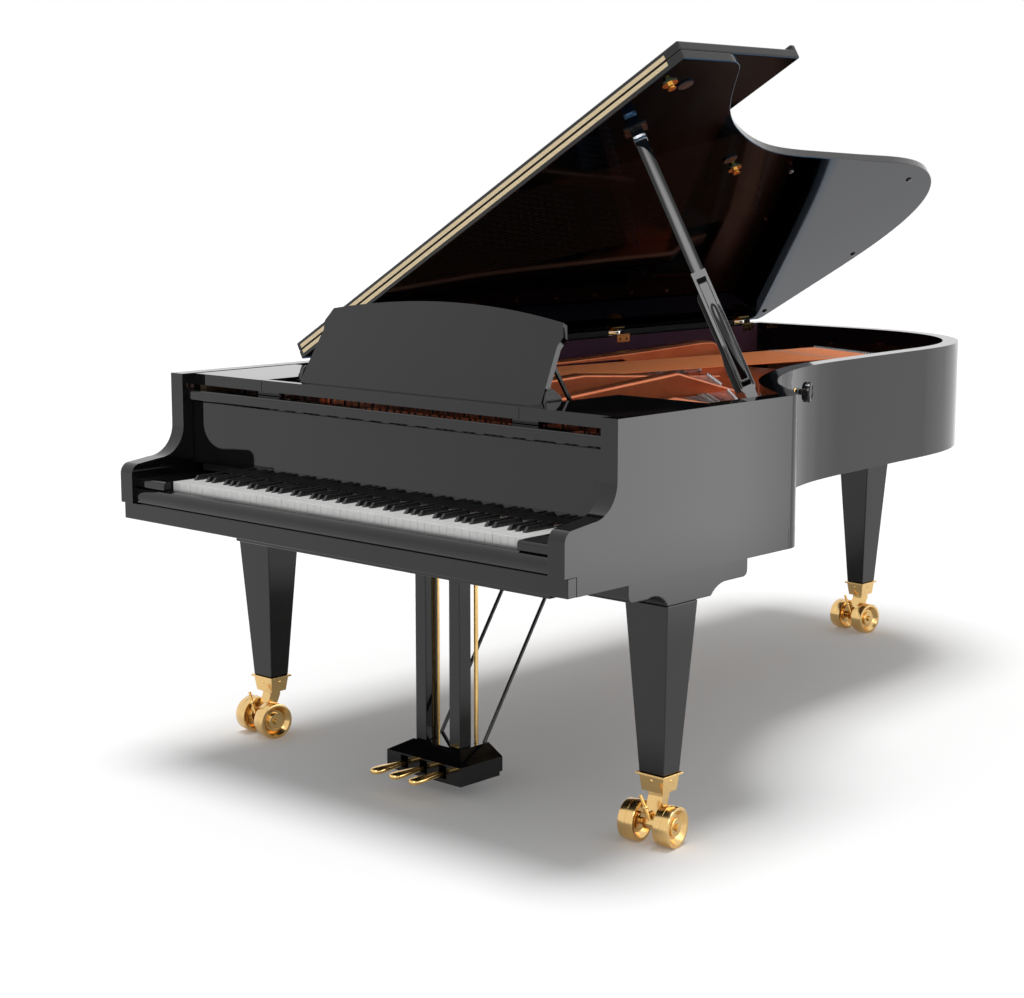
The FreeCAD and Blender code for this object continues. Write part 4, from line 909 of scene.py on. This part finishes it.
# Lock knob: radius and distance from its face, from the stem to the dished front
knob_profile = (
    (0.0060, -0.0340), (0.0092, -0.0330), (0.0100, -0.0300), (0.0092, -0.0270), (0.0075, -0.0250),
    (0.0085, -0.0190), (0.0220, -0.0170), (0.0262, -0.0140), (0.0272, -0.0110), (0.0272, -0.0050),
    (0.0258, -0.0042), (0.0258, -0.0030), (0.0272, -0.0022), (0.0272, 0.0030), (0.0262, 0.0055),
    (0.0235, 0.0065), (0.0190, 0.0065), (0.0180, 0.0050), (0.0, 0.0050),
)
knob_ring_profile = ((0.0062, -0.041), (0.0105, -0.040), (0.0105, -0.036), (0.0062, -0.035))
knob_face_depth = 0.002
knob_sides = 48
knob_ring_sides = 32


def add_knob():
    """Turned knob with a ring on its stem, in place of the plain one."""
    corners = [corner.co for corner in frame["nodes"]["lock_knob"].data.vertices]
    axis = Vector(joints["lock_knob_turn"]["axis"])
    reach = [corner.dot(axis) for corner in corners]
    front = middle_of([corner for corner, far in zip(corners, reach) if far > max(reach) - knob_face_depth])
    depth = max(reach) - min(reach)
    stem_radius = knob_profile[0][0]
    profile = ((0.0, -depth), (stem_radius, -depth)) + knob_profile
    form = bmesh.new()
    turned(form, front, axis, profile, knob_sides)
    body = body_of["lock_knob"]
    piece = add_piece("lock_knob_turned", form, lacquer, body, crisp_edge)
    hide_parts("lock_knob")
    ring = bmesh.new()
    turned(ring, front, axis, knob_ring_profile, knob_ring_sides)
    add_piece("lock_knob_ring", ring, brass, body)


add_knob()


# Screws of the caster caps
cap_screw_level = 0.028
cap_screw_reach = 0.2
cap_screw_sink = 0.0006
cap_screw_radius = 0.0042
cap_screw_rise = 0.0022


def touch(node, start, direction):
    """Place where a line from outside first meets a node."""
    mesh = frame["nodes"][node].data
    corners = [corner.co for corner in mesh.vertices]
    tree = BVHTree.FromPolygons(corners, [face.vertices for face in mesh.polygons])
    return tree.ray_cast(start, direction)[0]


def add_cap_screws():
    """One screw in each face of each caster cap."""
    form = bmesh.new()
    head = dome(cap_screw_radius, cap_screw_rise)
    for group in islands("caster_caps"):
        centre = middle_of(group)
        centre.z = min(corner.z for corner in group) + cap_screw_level
        for way in (Vector((1, 0, 0)), Vector((-1, 0, 0)), Vector((0, 1, 0)), Vector((0, -1, 0))):
            spot = touch("caster_caps", centre + way * cap_screw_reach, -way)
            turned(form, spot - way * cap_screw_sink, way, head, screw_sides)
    add_piece("cap_screws", form, brass, "case")


add_cap_screws()


# Casters: one half of a wheel's section, as shares of its radius and half width
wheel_half = (
    (0.185, -0.80), (0.42, -0.80), (0.45, -0.75), (0.46, -0.42), (0.60, -0.42), (0.80, -0.90), (0.815, -0.96),
    (0.83, -1.0), (0.95, -1.0), (0.985, -0.97), (1.0, -0.90), (1.0, -0.045), (0.984, -0.02),
)
wheel_sides = 72

# Brake handles: places are forward of the axle and above it
brake_screw_forward = 0.028
brake_screw_rise = 0.0256
handle_forward = 0.036
handle_rise = 0.046
handle_half = 0.027
handle_radius = 0.0042
handle_root = 0.004
handle_lean = math.radians(26.0)
handle_sides = 14
handle_ball = ((0.0, -0.0062), (0.0038, -0.0052), (0.0060, -0.0018),
               (0.0060, 0.0018), (0.0038, 0.0052), (0.0, 0.0062))
handle_ball_sides = 18
knurl_pitch = 0.003
knurl_lead_share = 0.2
knurl_land = 0.0014
knurl_valley = 0.0019
knurl_valley_share = 0.80
knurl_end_share = 0.7


def knurled(radius, length):
    """Profile of a rod with rings cut round it."""
    end_radius = radius * knurl_end_share
    profile = [(0.0, 0.0), (end_radius, 0.0)]
    steps = round(length / knurl_pitch)
    for step in range(steps):
        start = (step + knurl_lead_share) * length / steps
        profile.append((radius, start))
        profile.append((radius, start + knurl_land))
        profile.append((radius * knurl_valley_share, start + knurl_valley))
    return profile + [(end_radius, length), (0.0, length)]


def add_wheels(corner):
    """Two turned wheels with a fine groove round the tread, in place of the plain ones."""
    node = "caster_wheels_" + corner
    axis = Vector(joints["wheel_spin_" + corner]["axis"])
    middle = Vector(joints["wheel_spin_" + corner]["pos_m"])
    form = bmesh.new()
    for group in islands(node):
        reach = [(spot - middle).dot(axis) for spot in group]
        centre = middle + axis * ((min(reach) + max(reach)) / 2)
        half = (max(reach) - min(reach)) / 2
        radius = max((spot - middle).cross(axis).length for spot in group)
        profile = [(share * radius, along * half) for share, along in wheel_half]
        profile += [(share, -along) for share, along in reversed(profile)]
        turned(form, centre, axis, profile, wheel_sides, True)
    piece = add_piece(node + "_turned", form, caster_brass, body_of[node], crisp_edge)
    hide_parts(node)


def add_brake_handle(corner):
    """Cross handle of the brake screw: a short stem and two knurled arms on a small ball."""
    axis = Vector(joints["wheel_spin_" + corner]["axis"])
    axle = Vector(joints["wheel_spin_" + corner]["pos_m"])
    trail = axle - Vector(joints["caster_swivel_" + corner]["pos_m"])
    trail.z = 0.0
    trail.normalize()
    if axis.x < 0:
        axis = -axis
    centre = axle + trail * handle_forward + upward * handle_rise
    screw = axle + trail * brake_screw_forward + upward * brake_screw_rise
    stem = centre - screw
    lean = upward * math.cos(handle_lean) - axis * math.sin(handle_lean)
    form = bmesh.new()
    turned(form, screw, stem, rod(handle_radius, stem.length), handle_sides)
    turned(form, centre, lean, handle_ball, handle_ball_sides)
    for way in (-1, 1):
        root = centre + lean * (way * handle_root)
        turned(form, root, lean * way, knurled(handle_radius, handle_half), handle_sides)
    add_piece("brake_handle_" + corner, form, brass, "caster_" + corner, crisp_edge)


for corner in caster_corners:
    add_wheels(corner)
    add_brake_handle(corner)


# Pedals: distance from the tip, half width and half height of the swollen end
pedal_spoon = (
    (-0.001, 0.0045, 0.0035), (0.001, 0.0085, 0.0058), (0.005, 0.0128, 0.0076), (0.010, 0.0154, 0.0088),
    (0.020, 0.0172, 0.0096), (0.032, 0.0172, 0.0097), (0.045, 0.0160, 0.0092), (0.060, 0.0140, 0.0085),
    (0.078, 0.0110, 0.0076), (0.095, 0.0100, 0.0070), (0.104, 0.0085, 0.0058),
)
spoon_sides = 24


def add_pedal_spoon(node):
    """Swollen oval end of a pedal."""
    low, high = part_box(node)
    middle = (low + high) / 2
    form = bmesh.new()
    stations = []
    for along, half, rise in pedal_spoon:
        stations.append([Vector((middle.x + half * math.cos(angle), low.y + along,
                                 middle.z + rise * math.sin(angle))) for angle in turn_angles(spoon_sides)])
    drawn(form, stations)
    add_piece(node + "_spoon", form, brass, body_of[node])


for node in ("soft_pedal", "sostenuto_pedal", "damper_pedal"):
    add_pedal_spoon(node)


# Case side: the deep part of the side goes on round the corner of the bent side
side_corner_start = 0.818
side_corner_lap = 0.004
side_corner_radius = 0.075
side_corner_turn = math.radians(47.0)
side_corner_steps = 16
side_wall = 0.048
side_low = 0.650
side_high = 0.699
side_proud = 0.0003


def add_side_corner():
    """Curved wall below the rim, with a short straight lap onto the straight side."""
    form = bmesh.new()
    outer = side_corner_radius + side_proud
    inner = side_corner_radius - side_wall
    section = ((outer, side_low), (outer, side_high), (inner, side_high), (inner, side_low))
    path = [(side_corner_start - side_corner_lap, 0.0)]
    for step in range(side_corner_steps + 1):
        path.append((side_corner_start, side_corner_turn * step / side_corner_steps))
    stations = []
    for back, turn in path:
        stations.append([place(half_width - side_corner_radius + radius * math.cos(turn),
                               back + radius * math.sin(turn), level) for radius, level in section])
    drawn(form, stations)
    add_piece("side_corner", form, lacquer, "case", crisp_edge)


add_side_corner()


# Buffers under the lid, as places on the closed lid
buffer_places = ((0.225, 2.40), (-0.28, 2.765), (0.275, 1.70), (-0.70, 2.765))
buffer_radius = 0.0095
buffer_rise = 0.0055
buffer_sides = 20


def add_lid_buffers():
    """Rubber buttons under the lid, where it rests on the rim."""
    form = bmesh.new()
    for x, y in buffer_places:
        turned(form, on_lid(x, y, lid_under), -lid_up, dome(buffer_radius, buffer_rise), buffer_sides)
    add_piece("lid_buffers", form, satin, "lid")


add_lid_buffers()


# Side brackets of the music desk, as places back and up
bracket_outline = ((0.316, 1.004), (0.381, 1.004), (0.385, 1.016), (0.374, 1.031),
                   (0.352, 1.046), (0.340, 1.050), (0.329, 1.040))
bracket_inside = 0.4195
bracket_outside = 0.4275
bracket_edge = 0.002


def add_desk_brackets():
    for name, way in (("left", -1), ("right", 1)):
        form = bmesh.new()
        drawn(form, [[place(way * x, y, z) for y, z in bracket_outline]
                     for x in (bracket_inside, bracket_outside)])
        piece = add_piece("desk_bracket_" + name, form, satin, body_of["desk_base"])
        round_edges(piece, bracket_edge, edge_steps)


add_desk_brackets()


# Stage
def add_camera():
    data = bpy.data.cameras.new("camera")
    data.lens = camera_lens
    data.sensor_width = sensor_width
    data.sensor_fit = "HORIZONTAL"
    camera = bpy.data.objects.new("camera", data)
    camera.location = place(*camera_place)
    camera.rotation_euler = Euler([math.radians(angle) for angle in camera_turn])
    bpy.context.scene.collection.objects.link(camera)
    bpy.context.scene.camera = camera


def seen_directly(tree):
    """One where the eye, a mirror or a glass looks straight at the surface, and zero for other light."""
    path = tree.nodes.new("ShaderNodeLightPath")
    value = path.outputs["Is Camera Ray"]
    for name in ("Is Glossy Ray", "Is Transmission Ray"):
        most = tree.nodes.new("ShaderNodeMath")
        most.operation = "MAXIMUM"
        tree.links.new(value, most.inputs[0])
        tree.links.new(path.outputs[name], most.inputs[1])
        value = most.outputs[0]
    return value


def scaled(tree, value, low, high):
    """Value spread from zero and one to two levels."""
    spread = tree.nodes.new("ShaderNodeMapRange")
    spread.inputs["To Min"].default_value = low
    spread.inputs["To Max"].default_value = high
    tree.links.new(value, spread.inputs["Value"])
    return spread.outputs["Result"]


def floor_material():
    """Pale floor that takes shadows and looks white where nothing shades it."""
    material = bpy.data.materials.new("floor")
    material.use_nodes = True
    tree = material.node_tree
    tree.nodes.remove(tree.nodes["Principled BSDF"])
    matte = tree.nodes.new("ShaderNodeBsdfDiffuse")
    matte.inputs["Color"].default_value = (floor_white, floor_white, floor_white, 1.0)
    glow = tree.nodes.new("ShaderNodeEmission")
    tree.links.new(scaled(tree, seen_directly(tree), 0.0, floor_glow), glow.inputs["Strength"])
    both = tree.nodes.new("ShaderNodeAddShader")
    tree.links.new(matte.outputs["BSDF"], both.inputs[0])
    tree.links.new(glow.outputs["Emission"], both.inputs[1])
    tree.links.new(both.outputs["Shader"], tree.nodes["Material Output"].inputs["Surface"])
    return material


def add_floor():
    form = bmesh.new()
    bmesh.ops.create_circle(form, cap_ends=True, segments=floor_sides, radius=floor_radius)
    mesh = bpy.data.meshes.new("floor")
    form.to_mesh(mesh)
    form.free()
    floor = bpy.data.objects.new("floor", mesh)
    bpy.context.scene.collection.objects.link(floor)
    dress(floor, floor_material())


def add_world():
    world = bpy.data.worlds.new("studio")
    bpy.context.scene.world = world
    world.use_nodes = True
    tree = world.node_tree
    background = tree.nodes["Background"]
    background.inputs["Color"].default_value = (1.0, 1.0, 1.0, 1.0)
    tree.links.new(scaled(tree, seen_directly(tree), sky_light, 1.0), background.inputs["Strength"])


def add_overhead():
    """Wide soft light from above, even over the whole floor."""
    data = bpy.data.lights.new("overhead", "SUN")
    data.energy = overhead_light * math.pi
    data.angle = math.radians(overhead_spread)
    lamp = bpy.data.objects.new("overhead", data)
    lamp.rotation_euler = Vector(overhead_aim).to_track_quat("-Z", "Y").to_euler()
    bpy.context.scene.collection.objects.link(lamp)


def faded(tree, glow):
    """Dims a lamp smoothly towards its four edges."""
    spot = tree.nodes.new("ShaderNodeNewGeometry")
    split = tree.nodes.new("ShaderNodeSeparateXYZ")
    tree.links.new(spot.outputs["Parametric"], split.inputs[0])
    strength = None
    for axis in ("X", "Y"):
        for start, end in ((0.0, softbox_fade), (1.0, 1.0 - softbox_fade)):
            ramp = tree.nodes.new("ShaderNodeMapRange")
            ramp.interpolation_type = "SMOOTHSTEP"
            ramp.inputs["From Min"].default_value = start
            ramp.inputs["From Max"].default_value = end
            tree.links.new(split.outputs[axis], ramp.inputs["Value"])
            if strength is None:
                strength = ramp.outputs["Result"]
                continue
            product = tree.nodes.new("ShaderNodeMath")
            product.operation = "MULTIPLY"
            tree.links.new(strength, product.inputs[0])
            tree.links.new(ramp.outputs["Result"], product.inputs[1])
            strength = product.outputs[0]
    tree.links.new(strength, glow.inputs["Strength"])


def add_softbox(name, centre, aim, width, height, radiance):
    """Flat lamp of a given brightness, seen only in polished surfaces."""
    data = bpy.data.lights.new(name, "AREA")
    data.shape = "RECTANGLE"
    data.size = width
    data.size_y = height
    data.energy = radiance * math.pi * width * height
    data.use_nodes = True
    faded(data.node_tree, data.node_tree.nodes["Emission"])
    lamp = bpy.data.objects.new(name, data)
    lamp.location = place(*centre)
    lamp.rotation_euler = (place(*aim) - place(*centre)).to_track_quat("-Z", "Y").to_euler()
    lamp.visible_camera = False
    lamp.visible_diffuse = False
    bpy.context.scene.collection.objects.link(lamp)


add_camera()
add_floor()
add_world()
add_overhead()
for name, settings in softboxes.items():
    add_softbox(name, *settings)

bpy.context.scene.view_settings.view_transform = "Standard"
